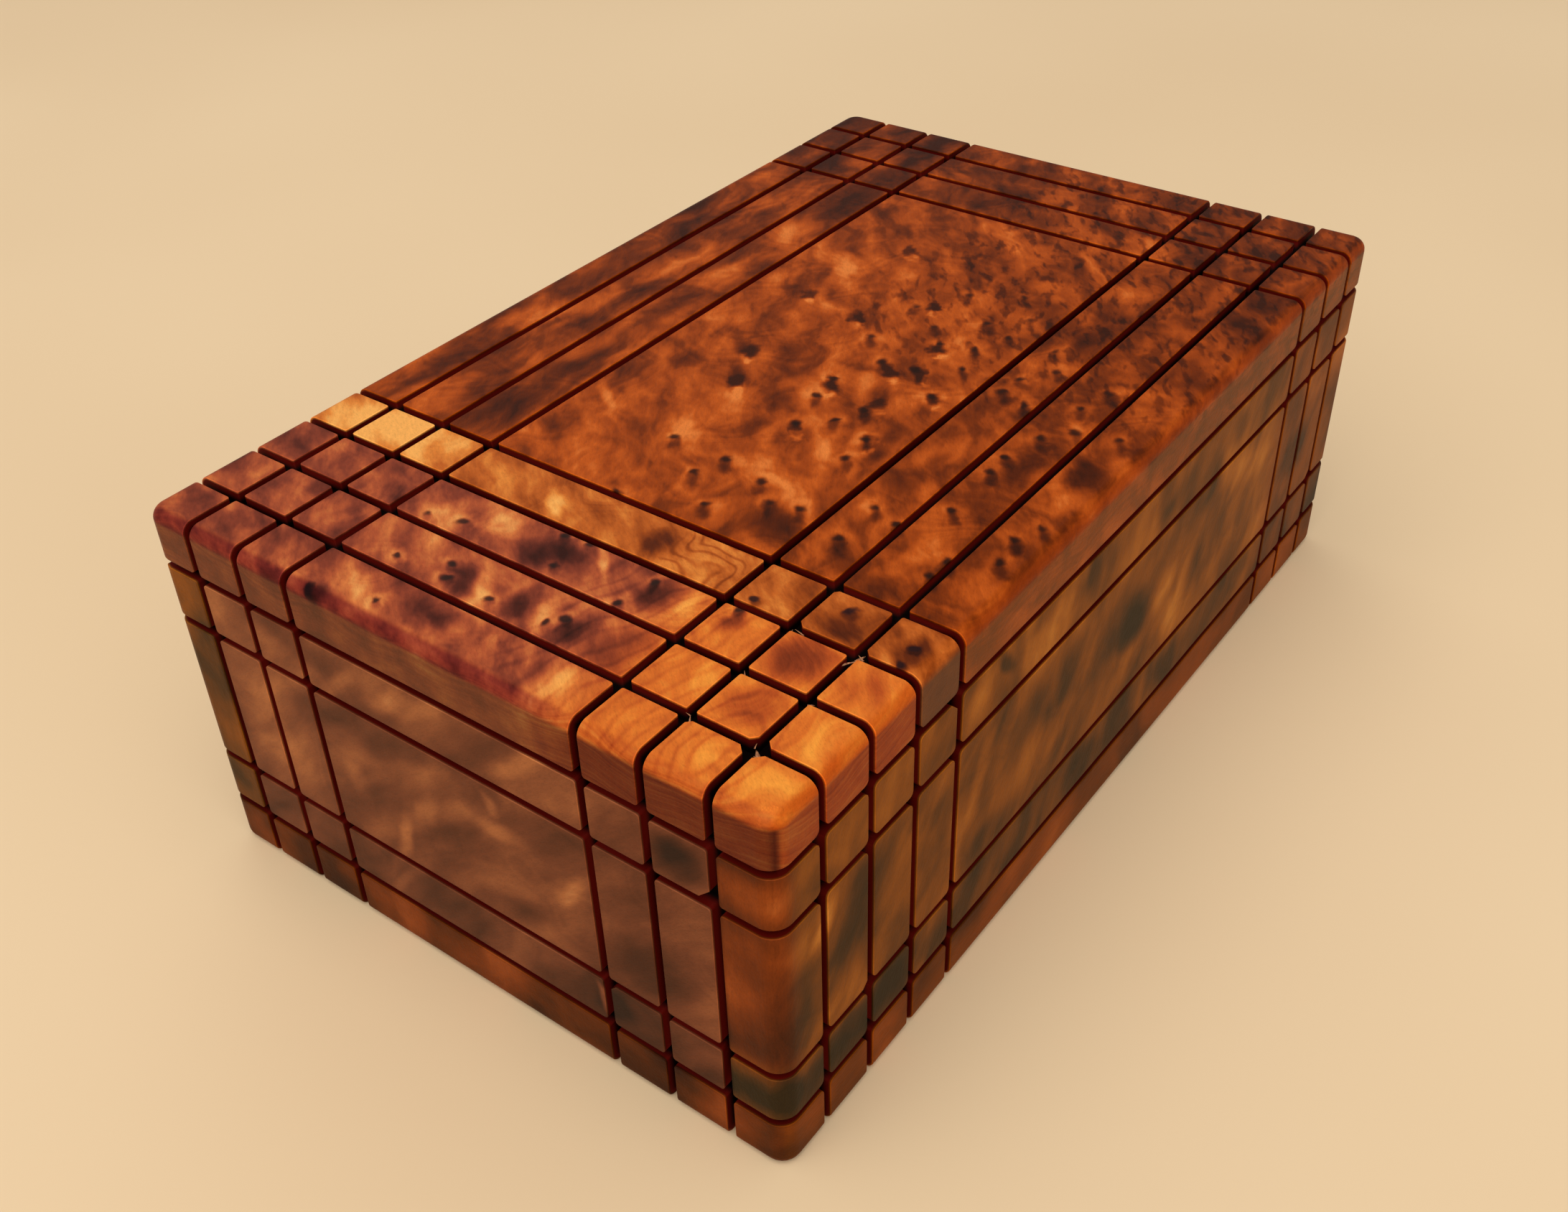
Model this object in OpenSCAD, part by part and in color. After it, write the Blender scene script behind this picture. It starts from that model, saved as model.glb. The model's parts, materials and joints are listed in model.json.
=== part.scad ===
// Secret-opening wooden box. A grid of saw cuts covers it, and the cuts hide every joint:
// a rail that slides away from the keyhole, a drawer for the key, and a hinged, locking lid.
// The origin is the middle of the underside. +X points to the far end, -Y to the front, +Z up.

/* [Box] */
// Length of the box
box_l = 160; // [150:1:200]
// Width of the box, from front to back
box_w = 100; // [90:1:130]
// Height of the closed box
box_h = 58; // [54:1:80]
// Thickness of the walls, and width of the outermost strips
wall_t = 8.4; // [8:0.1:9.5]
// Thickness of the lid
lid_t = 8.1; // [7.5:0.1:10]
// Thickness of the base
base_t = 8.3; // [7:0.1:10]
// Radius of the upright corners
corner_r = 2.7; // [2.5:0.1:5]
// Radius of the lid's top edges
top_edge_r = 1.8; // [0.5:0.1:2.2]
// Radius of the base's bottom edges
foot_edge_r = 1.4; // [0.5:0.1:2]

/* [Saw cuts] */
// Width of a saw cut
cut_w = 1.3; // [0.8:0.1:1.8]
// Depth of a saw cut
cut_d = 2.2; // [1:0.1:2.4]
// Distance from one cut to the next
strip_pitch = 9.15; // [8.5:0.05:10]
// Cuts across the near end of the lid
near_cuts = 4; // [3:1:4]
// Cuts across the far end of the lid
far_cuts = 3; // [2:1:4]
// Cuts along each long side of the lid
side_cuts = 3; // [2:1:3]
// Height of the row under the lid, which is the keyhole rail's row
upper_row_h = 9; // [8.8:0.1:10]
// Height of the row above the base, which is the drawer's row
lower_row_h = 8.6; // [8:0.1:11]

/* [Lid hinges] */
// Angle at which the lid stops
lid_open = 95; // [90:1:105]
// Length of a hinge
hinge_l = 26; // [20:1:32]
// Share of the box's length that lies between the middles of the hinges
hinge_spread = 0.35; // [0.24:0.01:0.36]
// Distance of the hinge's axis from the back face
hinge_inset = 1.8; // [1.6:0.1:2.2]
// Outer radius of the knuckles
knuckle_r = 1.5; // [1.3:0.05:1.6]
// Radius of a hinge pin
hinge_pin_r = 0.6; // [0.5:0.05:0.8]
// Thickness of a hinge leaf
leaf_t = 0.8; // [0.6:0.1:1]
// Reach of a leaf from the hinge's axis
leaf_reach = 6.1; // [5.4:0.1:6.3]

/* [Keyhole rail] */
// Thickness of the rail
rail_t = 5.5; // [5:0.1:5.8]
// Distance that the rail slides
rail_travel = 52; // [50:1:58]
// Width of the tongue where it leaves the rail
tongue_neck = 1.5; // [1.2:0.1:1.8]
// Width of the tongue at its foot
tongue_foot = 2.4; // [2:0.1:2.8]
// Depth of the tongue
tongue_h = 2; // [1.5:0.1:2.5]
// Distance of the tongue's middle from the back of the rail
tongue_in = 1.6; // [1.5:0.1:1.8]
// Radius of the rail's stop pin
rail_pin_r = 0.9; // [0.7:0.1:1]

/* [Key drawer] */
// Length of the tray behind the drawer front
tray_l = 64; // [60:1:80]
// Thickness of the tray's sides and back
tray_wall = 2.4; // [2:0.1:3.5]
// Thickness of the tray's bottom
tray_bottom_t = 2.2; // [2:0.1:2.6]
// Distance that the drawer slides
drawer_travel = 50; // [35:1:52]
// Radius of the drawer's stop pin
drawer_pin_r = 1; // [0.8:0.1:1.3]
// Height of the stop pin above the base
drawer_pin_h = 1.2; // [0.9:0.1:1.3]
// Width of the runners beside the drawer
runner_w = 5.5; // [4:0.5:8]
// Thickness of the compartment's floor
floor_t = 3; // [2:0.5:4]

/* [Lock] */
// Height of the key's axis above the bottom of the rail's recess
key_rise = 4; // [3.9:0.1:4.4]
// Radius of the hole for the key
keyhole_r = 1.7; // [1.5:0.1:1.9]
// Radius of the rosette round the keyhole
rosette_r = 3.6; // [3:0.1:3.7]
// Thickness of the rosette
rosette_t = 0.8; // [0.5:0.1:1]
// Thickness of the lock's sheet brass
sheet_t = 0.8; // [0.6:0.1:0.9]
// Half the width of the lock case
case_half = 15.6; // [15.6:0.1:18]
// Height of the flange under the lock case
flange_h = 6; // [5:0.5:8]
// Radius of the cam's disc
cam_r = 3.4; // [3.3:0.05:3.5]
// Thickness of the cam's disc
cam_t = 1.2; // [1:0.1:1.3]
// Radius of the cam's front hub
hub_r = 2; // [1.9:0.05:2.1]
// Radius of the cam's rear axle
axle_r = 1.2; // [1:0.05:1.25]
// Distance of the drive pin from the cam's axis
crank_r = 2.6; // [2.5:0.05:2.7]
// Radius of the drive pin
drive_pin_r = 0.6; // [0.5:0.05:0.65]
// Width across the flats of the key's square tip
key_square = 2; // [1.6:0.1:2.2]
// Thickness of the bolt
bolt_t = 1; // [0.8:0.1:1.2]
// Depth of the bolt's bar below the key's axis
bolt_drop = 4.9; // [4.6:0.1:5.2]
// Height of the bolt's fingers
finger_h = 1.4; // [1.1:0.1:1.6]
// Distance of the staples from the key's axis
staple_x = 8; // [8:0.1:9]
// Thickness of a staple
staple_t = 1.2; // [0.8:0.1:1.4]
// Half the length of the strike plate
strike_half = 13.5; // [13:0.1:16]
// Width of the strike plate
strike_w = 5.2; // [4.6:0.1:5.4]

/* [Screws] */
// Radius of a screw's shank
screw_r = 0.7; // [0.5:0.05:0.8]
// Radius of a screw's head
screw_head_r = 1.3; // [1.1:0.05:1.5]
// Length of a screw
screw_l = 4.6; // [3.5:0.1:5]

/* [Key] */
// Outer radius of the key's bow
bow_r = 5; // [4:0.1:6]
// Thickness of the key's bow
bow_t = 1.8; // [1.4:0.1:2.2]
// Length of the key's round shank
shank_l = 15; // [12:0.5:18]
// Length of the key's square tip
tip_l = 5; // [4:0.5:6]

/* [Clearances] */
// Gap beside the rail and the drawer
slide_gap = 0.15; // [0.1:0.01:0.2]
// Gap between the walls and the lid
lid_gap = 0.2; // [0.1:0.05:0.3]
// Radial gap of a pin or an axle that turns
run_gap = 0.05; // [0.02:0.01:0.08]
// Radial gap round a screw or a pin that stays put
fixed_gap = 0.02; // [0.01:0.01:0.05]

/* [Hidden] */
$fn = 64;

// Heights of the four level cuts: the base's seam, the drawer, the rail and the lid's seam
drawer_top = base_t + lower_row_h;
lid_seam = box_h - lid_t;
rail_low = lid_seam - upper_row_h;
wall_top = lid_seam - lid_gap / 2;
lid_low = lid_seam + lid_gap / 2;

// The cuts across the box, along it and around it
near_x = [for (i = [0 : near_cuts - 1]) -box_l / 2 + wall_t + i * strip_pitch];
far_x = [for (i = [0 : far_cuts - 1]) box_l / 2 - wall_t - i * strip_pitch];
front_y = [for (i = [0 : side_cuts - 1]) -box_w / 2 + wall_t + i * strip_pitch];
cuts_x = concat(near_x, far_x);
cuts_y = concat(front_y, -front_y);
cuts_z = [base_t, drawer_top, rail_low, lid_seam];

// Radius that the upright corners keep inside the cuts
core_r = max(corner_r - cut_d, 0.3);

// Inner faces of the walls
inner_x = box_l / 2 - wall_t;
inner_y = box_w / 2 - wall_t;

// The light strip of the lid lies between the last two cuts of the near end
strip_from = near_x[near_cuts - 2];
strip_to = near_x[near_cuts - 1];

// Keyhole rail
rail_from = strip_to;
rail_back = -box_w / 2 + rail_t;
tongue_y = rail_back - tongue_in;
rail_mid_z = (rail_low + wall_top) / 2;
rail_pin_x = inner_x - 2 * rail_pin_r;
rail_pin_reach = 1.3;
stop_gap = 0.1;

// Key drawer
drawer_half = -front_y[side_cuts - 1];
drawer_low = base_t + slide_gap;
tray_low = drawer_low + tray_bottom_t;
tray_top = drawer_top - slide_gap;
tray_half = drawer_half - slide_gap / 2;
tray_from = -inner_x;
tray_to = tray_from + tray_l;
drawer_pin_in = 6;
drawer_pin_x = -inner_x + drawer_pin_in;
drawer_pin_depth = 5;
floor_top = drawer_top + floor_t;

// Lock, in layers from the inner face of the front wall towards the compartment
end_float = 0.1;
window_gap = 0.3;
staple_cheek = 0.6;
staple_bridge = 1.2;
case_room = 0.5;
case_drop = 0.2;
case_screw_in = 3;
axle_gap = 0.25;
pad_step = 0.6;
lock_z = rail_low + key_rise;
plate_back = -inner_y + sheet_t;
cam_front = plate_back + end_float;
cam_back = cam_front + cam_t;
bolt_front = cam_back + slide_gap;
bolt_back = bolt_front + bolt_t;
staple_y = (bolt_front + bolt_back) / 2;
staple_window = bolt_t / 2 + window_gap;
staple_half = staple_window + staple_cheek;
case_inner = staple_y + staple_half + case_room;
case_back = case_inner + sheet_t;
case_top = wall_top - case_drop;
case_ceiling = case_top - sheet_t;
bolt_low = lock_z - bolt_drop;
case_floor = bolt_low - slide_gap;
case_low = case_floor - sheet_t;
flange_low = case_low - flange_h;
bar_top = lock_z - axle_r - axle_gap;
finger_top = case_ceiling - slide_gap;
finger_low = finger_top - finger_h;
staple_low = finger_low - staple_bridge;
pad_top = bar_top - pad_step;
strike_screw_in = 2;

// The drive pin swings from 45 degrees before the lowest point to 45 degrees after it
crank_start = 45;
bolt_travel = 2 * crank_r * sin(crank_start);
post_w = 1.6;
notch_gap = 0.2;
finger_gap = 0.2;

// Hinges
hinge_x = hinge_spread * box_l / 2;
hinge_y = box_w / 2 - hinge_inset;
hinge_end = hinge_y - leaf_reach;
knuckles = 5;
knuckle_gap = 0.2;
knuckle_l = (hinge_l - (knuckles - 1) * knuckle_gap) / knuckles;
mortise_gap = 0.25;
mortise_r = knuckle_r + mortise_gap;
hinge_screw_in = 2.1;
hinge_screw_y = hinge_end + hinge_screw_in;
hinge_screw_pitch = hinge_l * 0.32;

burl = [0.60, 0.30, 0.13];
burl_dark = [0.42, 0.20, 0.11];
sapwood = [0.80, 0.50, 0.24];
plain_wood = [0.72, 0.52, 0.33];
brass = [0.79, 0.62, 0.28];

// Box between two opposite corners
module zone(low, high) {
    translate(low) cube(high - low);
}

// Rod along Y, at the origin of X and Z
module rod_y(r, from, to) {
    translate([0, from, 0]) rotate([-90, 0, 0]) cylinder(r = r, h = to - from);
}

// Outline of the box seen from above, drawn in by a margin
module plan(margin, r) {
    l = box_l / 2 - margin;
    w = box_w / 2 - margin;
    square([2 * (l - r), 2 * w], center = true);
    square([2 * l, 2 * (w - r)], center = true);
    for (sx = [-1, 1], sy = [-1, 1])
        translate([sx * (l - r), sy * (w - r)]) circle(r);
}

// Half of a board's cross-section, with a rounded top edge and a rounded bottom edge
module edge_profile(reach, h, top_r, foot_r) {
    difference() {
        square([reach, h]);
        if (top_r > 0) translate([reach - top_r, h - top_r]) difference() {
            square(top_r + 1);
            circle(top_r);
        }
        if (foot_r > 0) translate([reach - foot_r, foot_r]) mirror([0, 1]) difference() {
            square(foot_r + 1);
            circle(foot_r);
        }
    }
}

module full_profile(reach, h, top_r, foot_r) {
    edge_profile(reach, h, top_r, foot_r);
    mirror([1, 0]) edge_profile(reach, h, top_r, foot_r);
}

// Slab with round corners, whose top or bottom edges are rounded all the way round
module rounded_slab(low, high, top_r, foot_r) {
    h = high - low;
    straight_l = box_l - 2 * corner_r;
    straight_w = box_w - 2 * corner_r;
    translate([0, 0, low]) {
        for (sx = [-1, 1], sy = [-1, 1])
            translate([sx * straight_l / 2, sy * straight_w / 2])
                rotate_extrude() edge_profile(corner_r, h, top_r, foot_r);
        rotate([90, 0, 90]) translate([0, 0, -straight_l / 2])
            linear_extrude(straight_l) full_profile(box_w / 2, h, top_r, foot_r);
        rotate([90, 0, 0]) translate([0, 0, -straight_w / 2])
            linear_extrude(straight_w) full_profile(box_l / 2, h, top_r, foot_r);
    }
}

// The walls' outer form, and the form that is left inside the saw cuts
module upright_form() {
    linear_extrude(box_h) plan(0, corner_r);
}

module uncut_form() {
    linear_extrude(box_h - cut_d) plan(cut_d, core_r);
}

module saw_cuts() {
    for (x = cuts_x)
        translate([x - cut_w / 2, -box_w, -1]) cube([cut_w, 2 * box_w, box_h + 2]);
    for (y = cuts_y)
        translate([-box_l, y - cut_w / 2, -1]) cube([2 * box_l, cut_w, box_h + 2]);
    for (z = cuts_z)
        translate([-box_l, -box_w, z - cut_w / 2]) cube([2 * box_l, 2 * box_w, cut_w]);
}

// Board between two corners, sawn from the form that is given as its child
module sawn_board(low, high) {
    difference() {
        intersection() {
            children(0);
            zone(low, high);
        }
        saw_cuts();
    }
    intersection() {
        uncut_form();
        zone(low, high);
    }
}

// Countersunk screw that points down, with the top of its head at the origin
module screw_body(gap) {
    translate([0, 0, -screw_l]) cylinder(r = screw_r + gap, h = screw_l);
    translate([0, 0, -leaf_t]) cylinder(r1 = screw_r + gap, r2 = screw_head_r + gap, h = leaf_t);
}

module screw() {
    slot_w = 0.35;
    difference() {
        screw_body(0);
        translate([-screw_head_r - 1, -slot_w / 2, -slot_w]) cube([2 * screw_head_r + 2, slot_w, 1]);
    }
}

// Places of the screws, each with its head on a leaf or a plate
module at_hinge_screws() {
    for (side = [-1, 1], i = [-1, 0, 1])
        translate([side * hinge_x + i * hinge_screw_pitch, hinge_screw_y, 0]) children();
}

module at_wall_screws() {
    translate([0, 0, wall_top]) at_hinge_screws() children();
}

module at_lid_screws() {
    translate([0, 0, lid_low]) mirror([0, 0, 1]) at_hinge_screws() children();
}

module at_strike_screws() {
    for (side = [-1, 1])
        translate([side * (strike_half - strike_screw_in), staple_y, lid_low]) mirror([0, 0, 1]) children();
}

module at_lock_screws() {
    for (side = [-1, 0, 1])
        translate([side * (case_half - case_screw_in), plate_back, (flange_low + case_low) / 2])
            rotate([-90, 0, 0]) children();
}

// Bevel along the back edge, where the open lid rests on the wall
module back_bevel(side) {
    lean = tan(lid_open / 2);
    reach = hinge_inset + 1;
    edge = side * lid_gap / 2;
    translate([-box_l, hinge_y, lid_seam]) rotate([90, 0, 90]) linear_extrude(2 * box_l)
        polygon([[0, edge], [reach, edge + side * reach * lean], [reach, -side], [0, -side]]);
}

// Recess for one leaf, and the notch for the knuckles, which opens to the back
module hinge_mortises(side) {
    face = side > 0 ? lid_low : wall_top - leaf_t;
    for (x = [-hinge_x, hinge_x]) {
        zone([x - hinge_l / 2, hinge_end, face], [x + hinge_l / 2, hinge_y, face + leaf_t]);
        zone([x - hinge_l / 2 - knuckle_gap, hinge_y - mortise_r, lid_seam - mortise_r],
             [x + hinge_l / 2 + knuckle_gap, box_w, lid_seam + mortise_r]);
    }
}

// Cross-section of the dovetailed tongue, which hangs from the bottom of the rail
module tongue_profile(gap, root) {
    neck = tongue_neck / 2 + gap;
    foot = tongue_foot / 2 + gap;
    bottom = -tongue_h - gap;
    polygon([[-neck, root], [-neck, 0], [-foot, bottom], [foot, bottom], [neck, 0], [neck, root]]);
}

module tongue(from, to, gap) {
    translate([from, tongue_y, rail_low + slide_gap / 2]) rotate([90, 0, 90])
        linear_extrude(to - from) tongue_profile(gap, 0.5);
}

module base_board() {
    color(burl_dark) difference() {
        sawn_board([-box_l, -box_w, 0], [box_l, box_w, base_t])
            rounded_slab(0, base_t, 0, foot_edge_r);
        translate([drawer_pin_x, 0, base_t - drawer_pin_depth])
            cylinder(r = drawer_pin_r + fixed_gap, h = drawer_pin_depth + 1);
    }
}

module front_wall() {
    color(burl) difference() {
        sawn_board([-box_l, -box_w, base_t], [box_l, -inner_y, wall_top]) upright_form();
        zone([rail_from - slide_gap / 2, -box_w, rail_low - slide_gap / 2],
             [box_l, rail_back + slide_gap, box_h]);
        tongue(rail_from - slide_gap / 2, box_l, slide_gap);
        translate([0, 0, lock_z]) {
            rod_y(keyhole_r, rail_back, 0);
            rod_y(rosette_r + fixed_gap, rail_back, rail_back + slide_gap + rosette_t);
        }
        translate([rail_pin_x, 0, rail_mid_z]) rod_y(rail_pin_r + fixed_gap, rail_back, 0);
        at_lock_screws() screw_body(fixed_gap);
    }
}

module back_wall() {
    color(burl) difference() {
        sawn_board([-box_l, inner_y, base_t], [box_l, box_w, wall_top]) upright_form();
        back_bevel(-1);
        hinge_mortises(-1);
        at_wall_screws() screw_body(fixed_gap);
    }
}

module near_end_wall() {
    color(burl) difference() {
        sawn_board([-box_l, -inner_y, base_t], [-inner_x, inner_y, wall_top]) upright_form();
        zone([-box_l, -drawer_half - slide_gap / 2, 0],
             [0, drawer_half + slide_gap / 2, drawer_top]);
    }
}

module far_end_wall() {
    color(burl) sawn_board([inner_x, -inner_y, base_t], [box_l, inner_y, wall_top]) upright_form();
}

module compartment_floor() {
    color(plain_wood) zone([-inner_x, -inner_y, drawer_top], [inner_x, inner_y, floor_top]);
}

module drawer_runner(side) {
    from = drawer_half + slide_gap / 2;
    color(plain_wood) zone([-inner_x, side > 0 ? from : -from - runner_w, base_t],
                           [inner_x, side > 0 ? from + runner_w : -from, drawer_top]);
}

module drawer_stop_pin() {
    color(brass) translate([drawer_pin_x, 0, base_t - drawer_pin_depth])
        cylinder(r = drawer_pin_r, h = drawer_pin_depth + drawer_pin_h);
}

module rail_stop_pin() {
    color(brass) translate([rail_pin_x, 0, rail_mid_z])
        rod_y(rail_pin_r, rail_back - rail_pin_reach, -inner_y);
}

module keyhole_rosette() {
    face = rail_back + slide_gap;
    color(brass) translate([0, 0, lock_z]) difference() {
        rod_y(rosette_r, face, face + rosette_t);
        rod_y(keyhole_r, face - 1, 0);
    }
}

// Mounting plate of the lock, with the front bearing of the cam
module lock_plate() {
    color(brass) difference() {
        zone([-case_half, -inner_y, flange_low], [case_half, plate_back, case_top]);
        translate([0, 0, lock_z]) rod_y(hub_r + run_gap, -inner_y - 1, plate_back + 1);
        at_lock_screws() screw_body(fixed_gap);
    }
}

// Case of the lock, open towards the plate, with slots for the staples in its top
module lock_case() {
    half = case_half - sheet_t;
    slot_half = staple_t / 2 + window_gap;
    color(brass) difference() {
        union() {
            difference() {
                zone([-case_half, plate_back, case_low], [case_half, case_back, case_top]);
                zone([-half, plate_back - 1, case_floor], [half, case_inner, case_ceiling]);
            }
            zone([-half, bolt_back + slide_gap, case_floor], [half, case_inner, pad_top]);
        }
        for (side = [-1, 1])
            zone([side * staple_x - slot_half, plate_back + end_float, case_ceiling - 1],
                 [side * staple_x + slot_half, case_inner, case_top + 1]);
        translate([0, 0, lock_z]) rod_y(axle_r + run_gap, case_inner - 1, case_back + 1);
    }
}

module lock_screws() {
    color(brass) at_lock_screws() screw();
}

// Cam that the key turns: a hub with a square socket, a disc with a drive pin, and an axle
module lock_cam() {
    socket = key_square / 2 + 0.1;
    color(brass) translate([0, 0, lock_z]) difference() {
        union() {
            rod_y(hub_r, -inner_y + end_float, cam_front);
            rod_y(cam_r, cam_front, cam_back);
            rod_y(axle_r, cam_back, case_back);
            translate([-crank_r * sin(crank_start), 0, -crank_r * cos(crank_start)])
                rod_y(drive_pin_r, cam_back - 0.5, bolt_back - end_float);
        }
        zone([-socket, -inner_y, -socket], [socket, cam_front + 0.6 * cam_t, socket]);
    }
}

// Bolt: a bar under the cam's axle, with two posts whose fingers slide into the staples
module lock_bolt() {
    notch = drive_pin_r + notch_gap;
    notch_x = -crank_r * sin(crank_start);
    left = -staple_x - staple_t / 2 - bolt_travel - finger_gap;
    right = staple_x - staple_t / 2 - bolt_travel - finger_gap;
    color(brass) difference() {
        union() {
            zone([left - post_w, bolt_front, bolt_low], [right, bolt_back, bar_top]);
            for (x = [left, right]) {
                zone([x - post_w, bolt_front, bolt_low], [x, bolt_back, finger_top]);
                zone([x - post_w, bolt_front, finger_low],
                     [x + bolt_travel - end_float, bolt_back, finger_top]);
            }
        }
        zone([notch_x - notch, bolt_front - 1, lock_z - crank_r - notch],
             [notch_x + notch, bolt_back + 1, bar_top + 1]);
    }
}

// Room of one staple's shank, which is let into the strike plate and peened over it
module staple_shank(side, gap) {
    half_t = staple_t / 2 + gap;
    half_w = staple_half + gap;
    zone([side * staple_x - half_t, staple_y - half_w, staple_low],
         [side * staple_x + half_t, staple_y + half_w, lid_low + sheet_t]);
}

// Strike plate let into the underside of the lid
module strike_plate() {
    color(brass) difference() {
        zone([-strike_half, staple_y - strike_w / 2, lid_low],
             [strike_half, staple_y + strike_w / 2, lid_low + sheet_t]);
        for (side = [-1, 1]) staple_shank(side, fixed_gap);
        at_strike_screws() screw_body(fixed_gap);
    }
}

// Staple that drops into the lock, with a window for a finger of the bolt
module staple(side) {
    color(brass) difference() {
        staple_shank(side, 0);
        zone([side * staple_x - staple_t, staple_y - staple_window, finger_low - window_gap],
             [side * staple_x + staple_t, staple_y + staple_window, finger_top + window_gap]);
    }
}

module strike_screws() {
    color(brass) at_strike_screws() screw();
}

// Board of the lid between two places along X, with every recess that reaches it
module lid_board(from, to) {
    difference() {
        sawn_board([from, -box_w, lid_low], [to, box_w, box_h + 1])
            rounded_slab(lid_seam - 1, box_h, top_edge_r, 0);
        back_bevel(1);
        hinge_mortises(1);
        at_lid_screws() screw_body(fixed_gap);
        zone([-strike_half, staple_y - strike_w / 2, lid_low - 1],
             [strike_half, staple_y + strike_w / 2, lid_low + sheet_t]);
        at_strike_screws() screw_body(fixed_gap);
    }
}

module lid_near_board() {
    color(burl_dark) lid_board(-box_l, strip_from);
}

module lid_light_strip() {
    color(sapwood) lid_board(strip_from, strip_to);
}

module lid_main_board() {
    color(burl) lid_board(strip_to, box_l);
}

// One leaf of a butt hinge. The wall's leaf has the odd knuckles, and the lid's the even ones
module hinge_leaf(x, side, first) {
    bore = hinge_pin_r + (side > 0 ? run_gap : fixed_gap);
    face = side > 0 ? lid_low : wall_top - leaf_t;
    start = x - hinge_l / 2;
    step = knuckle_l + knuckle_gap;
    color(brass) difference() {
        union() {
            difference() {
                zone([start, hinge_end, face], [start + hinge_l, hinge_y, face + leaf_t]);
                for (i = [1 - first : 2 : knuckles - 1])
                    zone([start + i * step - knuckle_gap, hinge_y - mortise_r, face - 1],
                         [start + i * step + knuckle_l + knuckle_gap, hinge_y + 1,
                          face + leaf_t + 1]);
            }
            for (i = [first : 2 : knuckles - 1])
                translate([start + i * step, hinge_y, lid_seam]) rotate([0, 90, 0])
                    cylinder(r = knuckle_r, h = knuckle_l);
        }
        translate([start - 1, hinge_y, lid_seam]) rotate([0, 90, 0])
            cylinder(r = bore, h = hinge_l + 2);
        if (side > 0) at_lid_screws() screw_body(fixed_gap);
        else at_wall_screws() screw_body(fixed_gap);
    }
}

module hinge_pin(x) {
    color(brass) translate([x - hinge_l / 2, hinge_y, lid_seam]) rotate([0, 90, 0])
        cylinder(r = hinge_pin_r, h = hinge_l);
}

module hinge_wall_screws() {
    color(brass) at_wall_screws() screw();
}

module hinge_lid_screws() {
    color(brass) at_lid_screws() screw();
}

// Rail that hides the keyhole. The stop pin runs in the slot in its back
module keyhole_rail() {
    slot_half = rail_pin_r + stop_gap;
    from = rail_from + slide_gap / 2;
    color(burl) difference() {
        union() {
            sawn_board([from, -box_w, rail_low + slide_gap / 2], [box_l, rail_back, wall_top])
                upright_form();
            tongue(from, box_l / 2 - cut_d, 0);
        }
        zone([rail_pin_x - rail_travel - slot_half, rail_back - rail_pin_reach - stop_gap,
              rail_mid_z - slot_half],
             [rail_pin_x + slot_half, rail_back + 1, rail_mid_z + slot_half]);
    }
}

module drawer_front() {
    color(burl) sawn_board([-box_l, -tray_half, drawer_low], [tray_from, tray_half, tray_top])
        upright_form();
}

// Bottom of the tray. The stop pin runs in the slot in its underside
module drawer_bottom() {
    slot_half = drawer_pin_r + stop_gap;
    color(plain_wood) difference() {
        zone([tray_from, -tray_half, drawer_low], [tray_to, tray_half, tray_low]);
        zone([drawer_pin_x - slot_half, -slot_half, 0],
             [drawer_pin_x + drawer_travel + slot_half, slot_half,
              base_t + drawer_pin_h + stop_gap]);
    }
}

module drawer_side(side) {
    color(plain_wood) zone([tray_from, side > 0 ? tray_half - tray_wall : -tray_half, tray_low],
                           [tray_to, side > 0 ? tray_half : tray_wall - tray_half, tray_top]);
}

module drawer_back() {
    color(plain_wood) zone([tray_to - tray_wall, tray_wall - tray_half, tray_low],
                           [tray_to, tray_half - tray_wall, tray_top]);
}

// Key that lies in the tray, with its bow towards the drawer front
module key() {
    margin = 4;
    color(brass) translate([tray_from + margin + bow_r, tray_half - tray_wall - margin - bow_r,
                            tray_low]) {
        difference() {
            cylinder(r = bow_r, h = bow_t);
            translate([0, 0, -1]) cylinder(r = bow_r * 0.62, h = bow_t + 2);
        }
        translate([bow_r * 0.8, 0, key_square / 2]) {
            rotate([0, 90, 0]) cylinder(r = key_square / 2, h = shank_l);
            zone([shank_l, -key_square / 2, -key_square / 2],
                 [shank_l + tip_l, key_square / 2, key_square / 2]);
        }
    }
}

base_board();
front_wall();
back_wall();
near_end_wall();
far_end_wall();
compartment_floor();
drawer_runner(-1);  // drawer_runner_front
drawer_runner(1);  // drawer_runner_back
drawer_stop_pin();
rail_stop_pin();
keyhole_rosette();
lock_plate();
lock_case();
lock_screws();
lock_cam();
lock_bolt();
strike_plate();
staple(-1);  // left_staple
staple(1);  // right_staple
strike_screws();
lid_near_board();
lid_light_strip();
lid_main_board();
hinge_leaf(-hinge_x, -1, 0);  // left_hinge_wall_leaf
hinge_leaf(-hinge_x, 1, 1);  // left_hinge_lid_leaf
hinge_pin(-hinge_x);  // left_hinge_pin
hinge_leaf(hinge_x, -1, 0);  // right_hinge_wall_leaf
hinge_leaf(hinge_x, 1, 1);  // right_hinge_lid_leaf
hinge_pin(hinge_x);  // right_hinge_pin
hinge_wall_screws();
hinge_lid_screws();
keyhole_rail();
drawer_front();
drawer_bottom();
drawer_side(1);  // drawer_left_side
drawer_side(-1);  // drawer_right_side
drawer_back();
key();
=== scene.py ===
# %% [markdown]
# # A thuya burl secret box
# The packed model gives the box's exact pieces in metres: the boards, the hinges, the lock and the
# drawer. This lesson dresses them. The sawn boards get the softly broken edges that sanding
# leaves, the wood gets its eyes and its figure from shader nodes, and the brass gets its wear.

# %% Load the packed box
import json
import math
import random

import bmesh
import bpy
from mathutils import Matrix, Vector


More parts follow.
